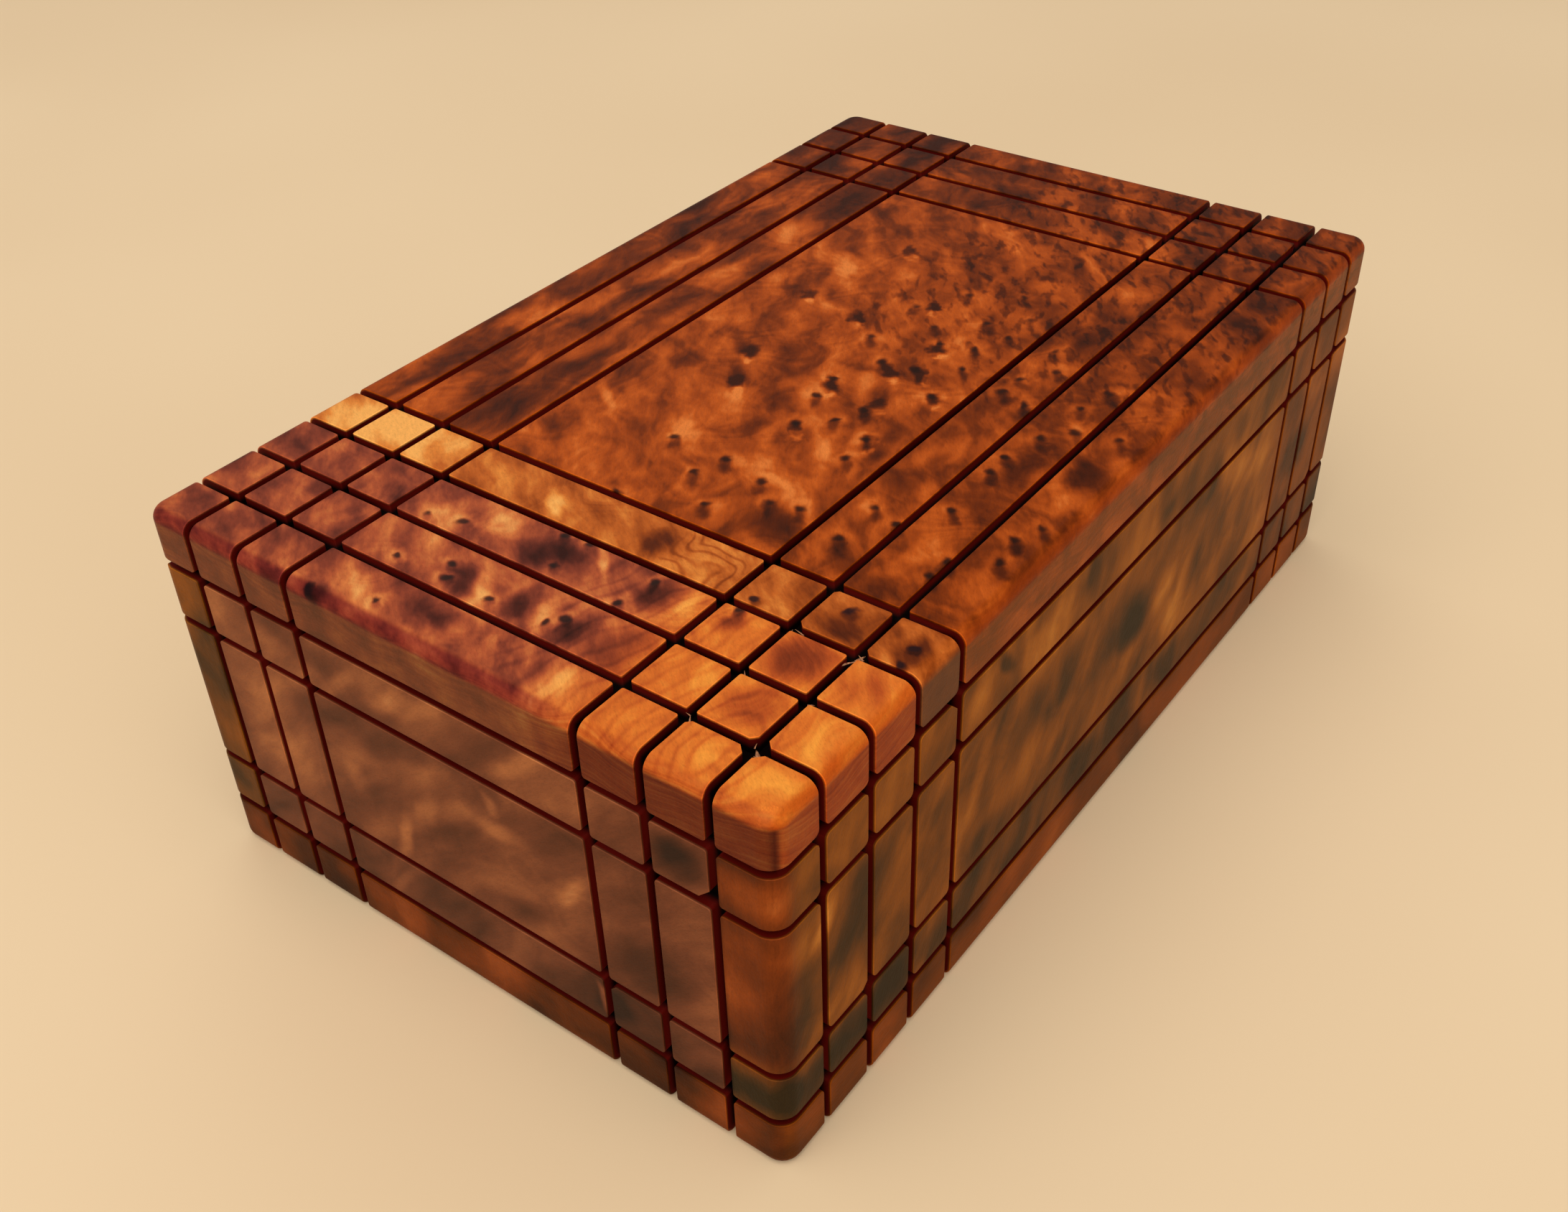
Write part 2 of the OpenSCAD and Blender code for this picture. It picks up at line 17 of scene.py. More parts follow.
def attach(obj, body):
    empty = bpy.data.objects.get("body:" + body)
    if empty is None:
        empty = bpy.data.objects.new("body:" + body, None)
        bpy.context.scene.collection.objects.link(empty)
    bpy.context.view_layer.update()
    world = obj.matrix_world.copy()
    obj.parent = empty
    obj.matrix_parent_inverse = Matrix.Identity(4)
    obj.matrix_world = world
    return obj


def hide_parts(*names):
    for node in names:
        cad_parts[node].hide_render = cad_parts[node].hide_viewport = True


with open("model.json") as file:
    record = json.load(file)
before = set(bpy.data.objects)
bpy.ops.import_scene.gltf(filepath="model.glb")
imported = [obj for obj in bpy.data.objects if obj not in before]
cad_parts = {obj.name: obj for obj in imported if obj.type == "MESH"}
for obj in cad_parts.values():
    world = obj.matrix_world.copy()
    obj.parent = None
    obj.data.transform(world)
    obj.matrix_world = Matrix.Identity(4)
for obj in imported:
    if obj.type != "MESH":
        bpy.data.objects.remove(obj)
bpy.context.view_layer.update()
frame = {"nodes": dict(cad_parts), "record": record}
nodes = frame["nodes"]
MM = 0.001  # sizes are written in millimetres, and Blender's unit is the metre

# %% [markdown]
# ## The camera
# A photograph of a box holds three sets of parallel lines, so the place of the camera follows from
# the crossings of the saw cuts. The camera stands close, above the near corner, and is rolled by
# two degrees. Its axes are written out as unit vectors, because a rolled camera has no simple
# "look at" form.

# %% Place the camera
view_right = Vector((0.59099, -0.80625, -0.02625))
view_up = Vector((0.50266, 0.34261, 0.79370))
view_back = view_right.cross(view_up)
camera_place = Vector((-170.10, -121.12, 172.95)) * MM
FOCAL_LENGTH, FILM_WIDTH = 37.81, 36  # in millimetres

camera_data = bpy.data.cameras.new("camera")
camera_data.lens = FOCAL_LENGTH
camera_data.sensor_width = FILM_WIDTH
camera_data.clip_start = 10 * MM
camera = bpy.data.objects.new("camera", camera_data)
turn = Matrix((view_right, view_up, view_back)).transposed().to_4x4()
camera.matrix_world = Matrix.Translation(camera_place) @ turn
bpy.context.collection.objects.link(camera)
bpy.context.scene.camera = camera
bpy.context.scene.view_settings.view_transform = "Standard"
print("camera height:", round(camera.matrix_world.translation.z, 3), "m")

# %% [markdown]
# ## Shader maths as Python
# Node trees for wood are long. A small class wraps a socket, so that `1 - mask * 0.5` adds its
# Math nodes by itself. Vectors have a class of their own, because a Math node would turn them into
# a single number. Every other node comes from one method, `make`.

# %% Wrap sockets so that they can be used in expressions
class Number:
    """A socket that holds one value."""

    kind = "ShaderNodeMath"

    def __init__(self, paint, socket):
        self.paint, self.socket = paint, socket

    def maths(self, operation, inputs):
        return self.paint.make(self.kind, {"operation": operation}, inputs, type(self))

    def does(self, operation, *others):
        return self.maths(operation, [self, *others])

    def __add__(self, other):
        return self.does("ADD", other)

    def __sub__(self, other):
        return self.does("SUBTRACT", other)

    def __mul__(self, other):
        return self.does("MULTIPLY", other)

    def __truediv__(self, other):
        return self.does("DIVIDE", other)

    __radd__ = __add__
    __rmul__ = __mul__

    def __rsub__(self, other):
        return self.maths("SUBTRACT", [other, self])

    def step(self, low, high, start=0.0, end=1.0):
        """Smooth step from start to end while the value goes from low to high."""
        return self.paint.make("ShaderNodeMapRange", {"interpolation_type": "SMOOTHSTEP"},
                               [self, low, high, start, end])

    def within(self, low, high, fade):
        """A soft mask that is 1 while the value lies between low and high."""
        return self.step(low - fade, low) * self.step(high, high + fade, 1.0, 0.0)


class Arrow(Number):
    """A socket that holds a vector."""

    kind = "ShaderNodeVectorMath"

    def measure(self, operation, *others):
        """A vector operation whose result is one number."""
        settings = {"operation": operation}
        return self.paint.make(self.kind, settings, [self, *others], Number, "Value")

    def length(self):
        return self.measure("LENGTH")

    def distance(self, point):
        return self.measure("DISTANCE", point)

    def scaled(self, factor):
        inputs = {0: self, "Scale": factor}
        return self.paint.make(self.kind, {"operation": "SCALE"}, inputs, Arrow)

    def turned(self, degrees, scale=(1, 1, 1)):
        """The pattern's own coordinates: turned by some degrees and divided by scale."""
        inputs = {"Vector": self, "Rotation": (0, 0, math.radians(degrees)), "Scale": scale}
        return self.paint.make("ShaderNodeMapping", {"vector_type": "TEXTURE"}, inputs, Arrow)

    def parts(self):
        node = self.paint.make("ShaderNodeSeparateXYZ", {}, [self]).socket.node
        return [Number(self.paint, output) for output in node.outputs]


print("sockets can be wrapped as", Number.__name__, "and", Arrow.__name__)

# %% Mix a material
class Paint:
    """A material that is being mixed."""

    def __init__(self, name):
        self.material = bpy.data.materials.new(name)
        self.material.use_nodes = True
        self.tree = self.material.node_tree
        self.shader = self.tree.nodes["Principled BSDF"]

    def make(self, kind, settings, inputs, result=Number, output=0):
        """Add a node: its type, its settings, its sockets, and how to wrap which output."""
        node = self.tree.nodes.new(kind)
        for key, value in settings.items():
            if key == "stops":
                self.set_stops(node.color_ramp, value)
            else:
                setattr(node, key, value)
        pairs = inputs.items() if isinstance(inputs, dict) else enumerate(inputs)
        for key, value in pairs:
            self.plug(node.inputs[key], value)
        return result(self, node.outputs[output])

    @staticmethod
    def set_stops(ramp, stops):
        while len(ramp.elements) < len(stops):
            ramp.elements.new(0.5)
        for element, (place, colour) in zip(ramp.elements, stops):
            element.position = place
            element.color = (*colour, 1)

    def plug(self, socket, value):
        """Link a wrapped socket, or set a plain value. A colour gets its alpha of 1."""
        if isinstance(value, Number):
            self.tree.links.new(value.socket, socket)
        elif isinstance(value, tuple) and len(value) == 3 and socket.type == "RGBA":
            socket.default_value = (*value, 1)
        else:
            socket.default_value = value

    def millimetres(self):
        place = self.make("ShaderNodeTexCoord", {}, (), Arrow, "Object")
        return place.scaled(1 / MM)

    def noise(self, place, size, detail=3.0, rough=0.5):
        """Cloudy noise from 0 to 1, whose clouds are about `size` millimetres wide."""
        inputs = {"Vector": place, "Scale": 1 / size, "Detail": detail, "Roughness": rough}
        return self.make("ShaderNodeTexNoise", {}, inputs)

    def shift(self, place, size, reach):
        """The same place, pushed about by up to `reach` millimetres."""
        inputs = {"Vector": place, "Scale": 1 / size, "Detail": 2.0}
        push = self.make("ShaderNodeTexNoise", {}, inputs, Arrow, "Color")
        return place + (push - (0.5, 0.5, 0.5)).scaled(2 * reach)

    def blend(self, factor, first, second, way="MIX"):
        settings = {"data_type": "RGBA", "blend_type": way}
        return self.make("ShaderNodeMix", settings, {0: factor, 6: first, 7: second}, Number, 2)

    def ramp(self, factor, stops):
        return self.make("ShaderNodeValToRGB", {"stops": stops}, [factor])

    def finish(self, colour, roughness, height=None, depth=0.0, constants=None):
        """Plug the results into the shader. `depth` is the bump's height in millimetres."""
        self.plug(self.shader.inputs["Base Color"], colour)
        self.plug(self.shader.inputs["Roughness"], roughness)
        if height is not None:
            bump = self.make("ShaderNodeBump", {}, {"Height": height, "Distance": depth * MM})
            self.plug(self.shader.inputs["Normal"], bump)
        for name, value in (constants or {}).items():
            self.shader.inputs[name].default_value = value
        return self.material


def tone(red, green, blue):
    """A colour given from 0 to 255, as the shader wants it."""
    def linear(c):
        c /= 255
        return c / 12.92 if c <= 0.04045 else ((c + 0.055) / 1.055) ** 2.4
    return linear(red), linear(green), linear(blue)


print("middle grey as the shader wants it:", round(tone(128, 128, 128)[0], 3))

# %% [markdown]
# ## Floor and light
# The box lies on a plain cream sheet under a broad soft light. One large area lamp above gives
# the gentle sheen on the lid, a second weaker one opens up the shadows, and the world gives the
# rest.

# %% Lay the sheet
SHEET_REACH = 3.0  # metres from its middle to its edge
sheet_mesh = bpy.data.meshes.new("sheet")
sheet_bm = bmesh.new()
bmesh.ops.create_grid(sheet_bm, x_segments=1, y_segments=1, size=SHEET_REACH)
sheet_bm.to_mesh(sheet_mesh)
sheet_bm.free()
sheet = bpy.data.objects.new("sheet", sheet_mesh)
bpy.context.collection.objects.link(sheet)

paper = Paint("cream_sheet")
paper_cloud = paper.noise(paper.millimetres(), 260, 2.0)
paper_colour = paper.ramp(paper_cloud, [(0.3, tone(240, 209, 166)), (0.7, tone(249, 220, 178))])
sheet_mesh.materials.append(paper.finish(paper_colour, roughness=0.7))
print("the sheet is", 2 * SHEET_REACH, "m wide")

# %% Hang the lamps and light the room
BOX_MIDDLE = Vector((0, 0, 0.03))
WARM_WHITE = (1.0, 0.98, 0.95)


def lamp(name, place, size, power):
    """A round lamp that faces the box. Place and size are in metres, the power in watts."""
    data = bpy.data.lights.new(name, "AREA")
    data.shape, data.size, data.energy, data.color = "DISK", size, power, WARM_WHITE
    thing = bpy.data.objects.new(name, data)
    thing.location = place
    thing.rotation_euler = (Vector(place) - BOX_MIDDLE).to_track_quat("Z", "Y").to_euler()
    bpy.context.collection.objects.link(thing)


lamp("overhead_lamp", (-0.6, -0.25, 1.15), 2.0, 15.0)
lamp("side_lamp", (0.5, 0.7, 0.9), 0.8, 1.0)
world = bpy.data.worlds.new("room")
world.use_nodes = True
room_light = world.node_tree.nodes["Background"].inputs
room_light["Color"].default_value = (1.0, 0.96, 0.90, 1)
room_light["Strength"].default_value = 0.40
bpy.context.scene.world = world

# %% [markdown]
# ## The sawn boards
# The blocks between the saw cuts were sanded after sawing, so each one has softly broken edges and
# slightly round corners. The packed boards have sharp ones. Modelling each block anew would lose
# the exact cuts, so a copy of each board is cleaned and only the edges that reach its outer skin
# are bevelled. A few corners that have broken off come first, then the other upright corners where
# two cuts cross, and the rims of the cuts last.

# %% Measure how far a point lies outside the box's skin
LONG, WIDE, TALL = 160.0, 100.0, 58.0  # size of the whole box
CORNER, TOP_EDGE, FOOT_EDGE = 2.7, 1.8, 1.4  # radii of its round edges
SKIN_DEPTH = 0.06  # points at most this deep lie on the skin


def skin(point):
    """Distance in millimetres from the box's rounded skin, negative inside."""
    across = abs(point.x) / MM - LONG / 2 + CORNER
    along = abs(point.y) / MM - WIDE / 2 + CORNER
    side = math.hypot(max(across, 0), max(along, 0)) + min(max(across, along), 0) - CORNER
    height = point.z / MM
    edge = TOP_EDGE if height > TALL / 2 else FOOT_EDGE
    rise = (height - TALL if height > TALL / 2 else -height) + edge
    side += edge
    return math.hypot(max(side, 0), max(rise, 0)) + min(max(side, rise), 0) - edge


def on_skin(vertex):
    return skin(vertex.co) > -SKIN_DEPTH


print("the middle of the box lies", -round(skin(Vector((0, 0, TALL / 2 * MM)))), "mm deep")

# %% Clean a packed board and bevel its edges
SAME_POINT = 0.002  # packed points nearer than this are one point
SAME_BEVEL_POINT = 0.0005  # and so are the points of bevels that meet this closely
FLAT = 0.5  # degrees between triangles that make up one face
RIM, UPRIGHT = 30, 60  # degrees that an edge turns at least, to be a rim or a corner


def cleaned_copy(name):
    """A bmesh of a packed node, with its loose triangles merged into whole faces."""
    bm = bmesh.new()
    bm.from_mesh(nodes[name].data)
    bmesh.ops.remove_doubles(bm, verts=bm.verts, dist=SAME_POINT * MM)
    bmesh.ops.dissolve_limit(bm, angle_limit=math.radians(FLAT), verts=bm.verts, edges=bm.edges)
    return bm


def soften(bm, edges, width, segments, clamp=False):
    bmesh.ops.bevel(bm, geom=edges, offset=width * MM, offset_type="OFFSET", segments=segments,
                    profile=0.5, affect="EDGES", clamp_overlap=clamp, material=-1)


def close_up(bm):
    bmesh.ops.remove_doubles(bm, verts=bm.verts, dist=SAME_BEVEL_POINT * MM)


def sharp(edge, degrees):
    return (len(edge.link_faces) == 2 and edge.is_convex
            and edge.calc_face_angle(0) > math.radians(degrees))


def middle(edge):
    return (edge.verts[0].co + edge.verts[1].co) / 2


def is_rim(edge):
    return sharp(edge, RIM) and on_skin(edge.verts[0]) and on_skin(edge.verts[1])


def crosses_skin(edge):
    return sharp(edge, UPRIGHT) and on_skin(edge.verts[0]) != on_skin(edge.verts[1])


print("edges count as rims from", RIM, "and as corners from", UPRIGHT, "degrees")

# %% Put a finished piece in its node's place
SMOOTH_TURN = 50  # degrees up to which two faces are shaded as one
body_of = {node: body for body, names in frame["record"]["behaviour"]["bodies"].items()
           for node in names}


def stand_in(name, bm, body, material):
    """Make the bmesh a piece that rides on a body and stands for a packed node."""
    mesh = bpy.data.meshes.new(name + "_finished")
    bm.to_mesh(mesh)
    bm.free()
    mesh.shade_smooth()
    mesh.set_sharp_from_angle(angle=math.radians(SMOOTH_TURN))
    mesh.materials.append(material)
    piece = bpy.data.objects.new(name + "_finished", mesh)
    bpy.context.collection.objects.link(piece)
    smooth = piece.modifiers.new("even_shading", "WEIGHTED_NORMAL")
    smooth.keep_sharp = True
    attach(piece, body)
    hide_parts(name)


# %% Break the edges of every sawn board
SAWN = ["lid_near_board", "lid_light_strip", "lid_main_board", "front_wall", "back_wall",
        "near_end_wall", "far_end_wall", "base_board", "keyhole_rail", "drawer_front"]
BROKEN_CORNERS = [  # place of the corner, and how much has gone
    (-72.2, -42.2, 56.9, 1.0), (-70.9, -42.2, 56.9, 0.8), (-72.2, -40.9, 56.9, 0.9),
    (-70.9, -40.9, 56.9, 0.7), (-72.2, -33.1, 56.9, 0.6), (-52.6, -33.1, 56.9, 0.8),
    (-52.6, -42.2, 56.9, 0.7), (-44.8, -33.1, 56.9, 0.5), (-78.9, -40.9, 41.5, 1.5),
    (-78.9, -24.0, 16.2, 0.8), (-44.8, -48.9, 49.2, 1.2), (-63.1, -48.9, 17.5, 0.9),
    (71.0, -48.9, 17.5, 1.2),
]
NEAR_BY = 1.0  # a broken corner belongs to the boards that reach this near to it
LID_FROM = 55.8  # corners whose middle is higher than this are the lid's
FRONT_FROM = -47.7  # of the others, those whose middle is further out are the front's
WEAR = {"lid": (0.25, 2), "front": (0.75, 3), "side": (0.45, 3)}  # width, and number of steps
RIM_WEAR = (0.12, 2)


def zone(edge):
    if middle(edge).z > LID_FROM * MM:
        return "lid"
    return "front" if middle(edge).y < FRONT_FROM * MM else "side"


def sawn_board(name):
    bm = cleaned_copy(name)
    for x, y, z, width in BROKEN_CORNERS:
        spot = Vector((x, y, z)) * MM
        edge = min(filter(crosses_skin, bm.edges), key=lambda e: (middle(e) - spot).length)
        if (middle(edge) - spot).length < NEAR_BY * MM:
            soften(bm, [edge], width, 1)
    corners = 0
    for place, (width, steps) in WEAR.items():
        edges = [e for e in bm.edges if crosses_skin(e) and zone(e) == place]
        soften(bm, edges, width, steps)
        corners += len(edges)
    rims = list(filter(is_rim, bm.edges))
    soften(bm, rims, *RIM_WEAR)
    close_up(bm)
    print(f"{name}: {corners} corners, {len(rims)} rims, {len(bm.faces)} faces")
    return bm


# %% [markdown]
# ## What thuya burl looks like
# A burl is a swelling of the root, full of buds that never grew out. Sawn through, each bud is a
# dark eye with a pale rim, and the fibres flow round it, so the wood shows flames, clouds and fine
# wavy lines. The figure here is built from the large to the small. Soft patches set where a board
# is light or dark, noise adds its flames, growth lines and eyes come next, and a fine fibre noise
# lies over everything. One number, the light, runs from dark to pale and a ramp turns it into
# colour, so each board only needs its own lists of patches and eyes and its own ramp.

# %% A board's own coordinates, its figure and its finish
CUT_TOP, CUT_FLOOR = (0.12, 0.42), (2.35, 2.7)  # depths between which a cut's dark, partly the wood's own and partly painted shade, comes and goes
INNER_FACE = (7.2, 7.8)  # depths between which a board turns to bare inner wood
# the cut walls: dark red, partly the wood's own and partly painted shade, then black, painted
# shade deep in the cuts
CUT_RED, CUT_SHADE_BLACK = tone(92, 10, 3), tone(10, 2, 1)


def turned_point(u, v, degrees):
    """A point's coordinates in axes that are turned by some degrees."""
    c, s = math.cos(math.radians(degrees)), math.sin(math.radians(degrees))
    return u * c + v * s, v * c - u * s


class Board(Paint):
    """Burl on one board: u and v run along its main face, w goes down into it from that face."""

    def __init__(self, name, axes, surface):
        super().__init__(name)
        self.axis = dict(zip("xyz", self.millimetres().parts()))
        self.u, self.v, across = (self.axis[letter] for letter in axes)
        self.w = (across - surface).does("ABSOLUTE")
        self.face = self.make("ShaderNodeCombineXYZ", {}, [self.u, self.v, self.w], Arrow)
        self.soft = self.shift(self.face, 9, 1.6)
        self.frames = {}

    def frame(self, turn):
        """The soft coordinates, turned by some degrees. Each turn is made only once."""
        if turn not in self.frames:
            self.frames[turn] = self.soft.turned(turn)
        return self.frames[turn]

    def past_corner(self, first, second, radius):
        """Distance past two faces that meet in a round edge. It is negative inside."""
        first, second = first + radius, second + radius
        sides = [first.does("MAXIMUM", 0.0), second.does("MAXIMUM", 0.0), 0.0]
        outside = self.make("ShaderNodeCombineXYZ", {}, sides, Arrow).length()
        return outside + first.does("MAXIMUM", second).does("MINIMUM", 0.0) - radius

    def sunk(self):
        """Depth under the skin of the whole box, with its round uprights, top edge and foot."""
        x, y, z = (self.axis[letter] for letter in "xyz")
        beside = self.past_corner(x.does("ABSOLUTE") - LONG / 2,
                                  y.does("ABSOLUTE") - WIDE / 2, CORNER)
        above = (z - TALL / 2).does("ABSOLUTE") - TALL / 2
        edge = z.step(TALL / 2, TALL / 2 + 1, FOOT_EDGE, TOP_EDGE)
        return 0 - self.past_corner(beside, above, edge)

    def patches(self, spots):
        """Sum of soft patches: (u, v, half length, half width, turn in degrees, strength)."""
        total = 0.0
        for u, v, long, wide, turn, strength in spots:
            a, b = turned_point(u, v, turn)
            place = self.frame(turn) * (1 / long, 1 / wide, 0)
            total = place.distance((a / long, b / wide, 0)).step(0.2, 1.1, strength, 0.0) + total
        return total

    def nearest(self, place, points):
        """Distance to the nearest of a few points."""
        best = place.distance(points[0])
        for point in points[1:]:
            best = best.does("MINIMUM", place.distance(point))
        return best

    def eyes(self, centres, turn, tail, squeeze):
        """Distances to the eyes and to their tails. A centre is (u, v, faintness)."""
        turned = [(*turned_point(u, v, turn), faint) for u, v, faint in centres]
        flow = self.shift(self.frame(turn), 2.4, 0.9) * (1, 1, 0.15)
        dots = self.nearest(flow, turned)
        tails = self.nearest(flow * (squeeze, 1, 1),
                             [((a - tail) * squeeze, b, faint) for a, b, faint in turned])
        return dots, tails

    def curls(self, centres, turn, drop, squeeze):
        """Distances to the dark hoods of the larger curls and to the pale cores under them."""
        turned = [turned_point(u, v, turn) for u, v in centres]
        flow = self.shift(self.frame(turn), 2.2, 1.6) * (squeeze, 1, 0.15)
        hoods = self.nearest(flow, [(a * squeeze, b, 0) for a, b in turned])
        cores = self.nearest(flow, [(a * squeeze - drop, b, 0) for a, b in turned])
        return hoods, cores

    def lines(self, swing, size, spacing):
        """Growth lines: layers through the thickness, bent into contours by slow noise."""
        slow = self.noise(self.soft, size, 1.0)
        level = self.w / spacing + slow * swing
        return self.make("ShaderNodeTexNoise", {"noise_dimensions": "1D"},
                         {"W": level, "Scale": 1.0, "Detail": 2.0, "Roughness": 0.6})

    def rings(self, level):
        """Soft lines wherever the level passes a whole number."""
        return (level.does("FRACT") - 0.5).does("ABSOLUTE").step(0.22, 0.5)

    def shade(self, colour, strength, factor=1.0):
        """Multiply a colour by a number or by another colour."""
        return self.blend(factor, colour, strength, "MULTIPLY")

    def varnish(self, colour, fibre_turn, sheen=0.4, red=(0.5, 1.7)):
        """Lay fine fibres over the figure, paint highlights on the rims, paint shade into the
        cuts, set the surface.

        A cut is painted dark red at its top, partly the wood's own dark and partly painted shade.
        Deeper down it turns to painted black shade, between the two depths of `red`.
        """
        fibre = self.noise(self.face.turned(fibre_turn, (3.5, 1, 1)), 0.42, 3.0, 0.65)
        sunk = self.sunk()
        rim_highlight = sunk.within(0.05, 0.1, 0.05)
        cut = sunk.step(*CUT_TOP) * sunk.step(*CUT_FLOOR, 1.0, 0.0)
        pores = self.noise(self.face.turned(fibre_turn + 12, (2.6, 1, 1)), 0.2, 1.0)
        pores = pores.step(0.34, 0.46)
        # painted highlight: a thin pale line is painted along the rims of the blocks
        colour = self.shade(colour, 0.66 + fibre * 0.5 + pores * 0.1 + rim_highlight * 0.7)
        # painted shade in the cuts: dark red near the top, then black further down
        colour = self.blend(cut, colour, CUT_RED)
        colour = self.blend(cut * sunk.step(*red), colour, CUT_SHADE_BLACK)
        inner = self.w.step(*INNER_FACE)
        colour = self.shade(colour, (0.72, 0.74, 0.82), inner)
        rough = sheen + (fibre - 0.5) * 0.25 + cut * 0.3 + inner * 0.12
        return self.finish(colour, rough, fibre * (1 - cut), 0.05, {"Specular IOR Level": 0.05})


print("a board can be given:", [way for way in vars(Board) if not way.startswith("_")])

# %% [markdown]
# ## The main board of the lid
# This board carries the densest eyes. Each is a dark dot with a tail that runs down towards the
# near left, as the buds all lean one way. Fourteen larger curls stand among them, each a dark hood
# over a pale core. The rows behind the field are duller, with figure that runs along the box, and
# the far end is painted darker, as painted shade.

# %% List the main board's eyes, curls and patches
main_eyes = [
    (-29.2, 4.2, 0.1), (-34.6, -3.3, 0.1), (-29.6, -5.4, 0.1), (-39.2, -9.3, 0.3),
    (-31.2, -11.7, 0.3), (-34.6, -15.4, 0.4), (-33.3, -19.6, 0.2), (-17.1, -7.5, 0.2),
    (-10.0, -5.0, 0.2), (-4.6, -4.2, 0.0), (-13.8, -11.2, 0.2), (-9.2, -12.9, 0.3),
    (3.3, -7.9, 0.2), (3.6, -13.3, 0.1), (-20.8, -17.9, 0.3), (-15.8, -17.6, 0.2),
    (-1.2, -18.7, 0.1), (7.5, -18.3, 0.3), (-43.4, 2.1, 0.0), (-36.2, -27.5, 0.1),
    (-28.3, -27.5, 0.2), (-30.0, -31.7, 0.2), (5.0, -26.2, 0.3), (3.8, -30.6, 0.1),
    (-23.3, -35.8, 0.1), (-13.3, -34.9, 0.2), (-9.2, -35.2, 0.1), (-36.2, -40.6, 0.2),
    (-32.9, -40.4, 0.1), (-29.4, -46.2, 0.0), (16.2, -8.4, 0.4), (21.0, -14.0, 0.4),
    (13.4, -16.6, 0.4), (27.5, -7.2, 0.5), (12.4, -11.6, 0.4), (19.0, -18.8, 0.4),
    (25.4, -18.6, 0.5), (31.4, -14.4, 0.5), (8.6, -2.2, 0.4), (19.8, -2.6, 0.5),
    (9.5, -27.0, 0.3), (14.2, -29.6, 0.4), (19.4, -26.8, 0.5), (-2.6, -36.4, 0.3),
    (1.4, -39.2, 0.3), (7.2, -36.2, 0.4), (12.6, -38.8, 0.5), (-24.4, -44.8, 0.2),
    (-20.2, -47.0, 0.3), (2.4, -45.2, 0.4),
]
main_curls = [
    (-4.9, 9.2), (-12.6, 6.0), (14.5, 13.2), (12.2, 2.6), (-6.6, -5.3), (-17.8, -7.9),
    (-15.7, -18.3), (21.3, -5.2), (10.3, -12.5), (1.0, -10.3), (3.3, -14.1), (-1.7, -19.3),
    (-7.3, -13.4), (35.4, 8.1),
]
main_patches = [
    # light flames of the field
    (-25.8, 19.2, 5.5, 1.3, 52, 0.26), (-26.0, 6.5, 9.0, 3.6, 35, 0.12),
    (-14.2, 4.6, 3.4, 1.0, 35, 0.26), (-6.5, 9.2, 2.8, 1.0, 40, 0.22),
    (10.4, 2.1, 2.8, 1.2, 35, 0.28), (23.3, 12.5, 12.0, 2.8, 35, 0.22),
    (-26.7, -8.5, 9.0, 3.0, 35, 0.14), (-30.5, -16.5, 4.0, 3.0, 60, 0.14),
    (8.3, -3.5, 10.0, 3.4, 20, 0.12), (-39.5, -11.8, 5.0, 1.6, 20, 0.20),
    (-20.0, -14.2, 12.0, 1.6, 20, 0.12), (-3.0, -8.6, 6.0, 1.6, 20, 0.12),
    # its dark clouds
    (-38.6, -18.8, 6.0, 4.6, 10, -0.24), (-1.7, 4.5, 4.5, 5.0, 0, -0.16),
    (-11.7, 15.8, 3.4, 3.0, 0, -0.22), (-4.6, 10.8, 3.8, 2.2, 60, -0.26),
    (-12.0, 6.8, 6.0, 1.5, 35, -0.22), (15.0, 15.8, 3.8, 4.4, 0, -0.20),
    (13.5, 2.5, 5.0, 3.0, 20, -0.20), (42.5, 10.8, 8.0, 4.6, -15, -0.20),
    (-5.8, -12.5, 6.0, 2.0, 20, -0.16), (-15.0, -20.5, 7.0, 1.8, 10, -0.16),
    (-17.5, -1.7, 10.0, 3.0, 20, -0.14),
    # the rows behind the field
    (-36.0, 28.0, 9.0, 4.6, 0, -0.20), (-31.7, 35.0, 9.0, 3.0, 0, -0.26),
    (1.0, 44.0, 14.0, 3.6, 0, -0.18), (12.0, 28.0, 7.0, 5.0, 0, 0.26),
    (31.0, 28.5, 7.0, 5.0, 0, 0.18), (37.0, 37.5, 6.0, 5.0, 0, 0.18),
    (-38.0, 38.5, 7.0, 4.0, 0, 0.12), (70.0, 27.5, 10.0, 4.0, 0, -0.22),
    (3.0, 33.0, 5.0, 12.0, 0, -0.10),
    # the rows before it
    (-18.0, -28.2, 7.0, 3.0, 0, -0.20), (-29.5, -26.6, 5.0, 1.8, 0, 0.14),
    (-33.5, -37.0, 5.0, 2.4, 0, 0.18), (-5.5, -38.6, 7.0, 2.6, 0, -0.18),
    (-6.5, -45.4, 7.0, 3.0, 0, -0.20), (-14.5, -46.6, 5.0, 2.4, 0, 0.16),
    (27.0, -29.0, 9.0, 4.0, 0, -0.14), (41.0, -28.0, 8.0, 4.2, 0, 0.14),
    (47.0, -46.0, 8.0, 4.0, 0, -0.22), (57.0, -22.0, 6.0, 7.0, 0, 0.16),
    (-40.5, -34.0, 3.6, 12.0, 0, -0.08),
]
print("main board:", len(main_eyes), "eyes,", len(main_curls), "curls,",
      len(main_patches), "patches")

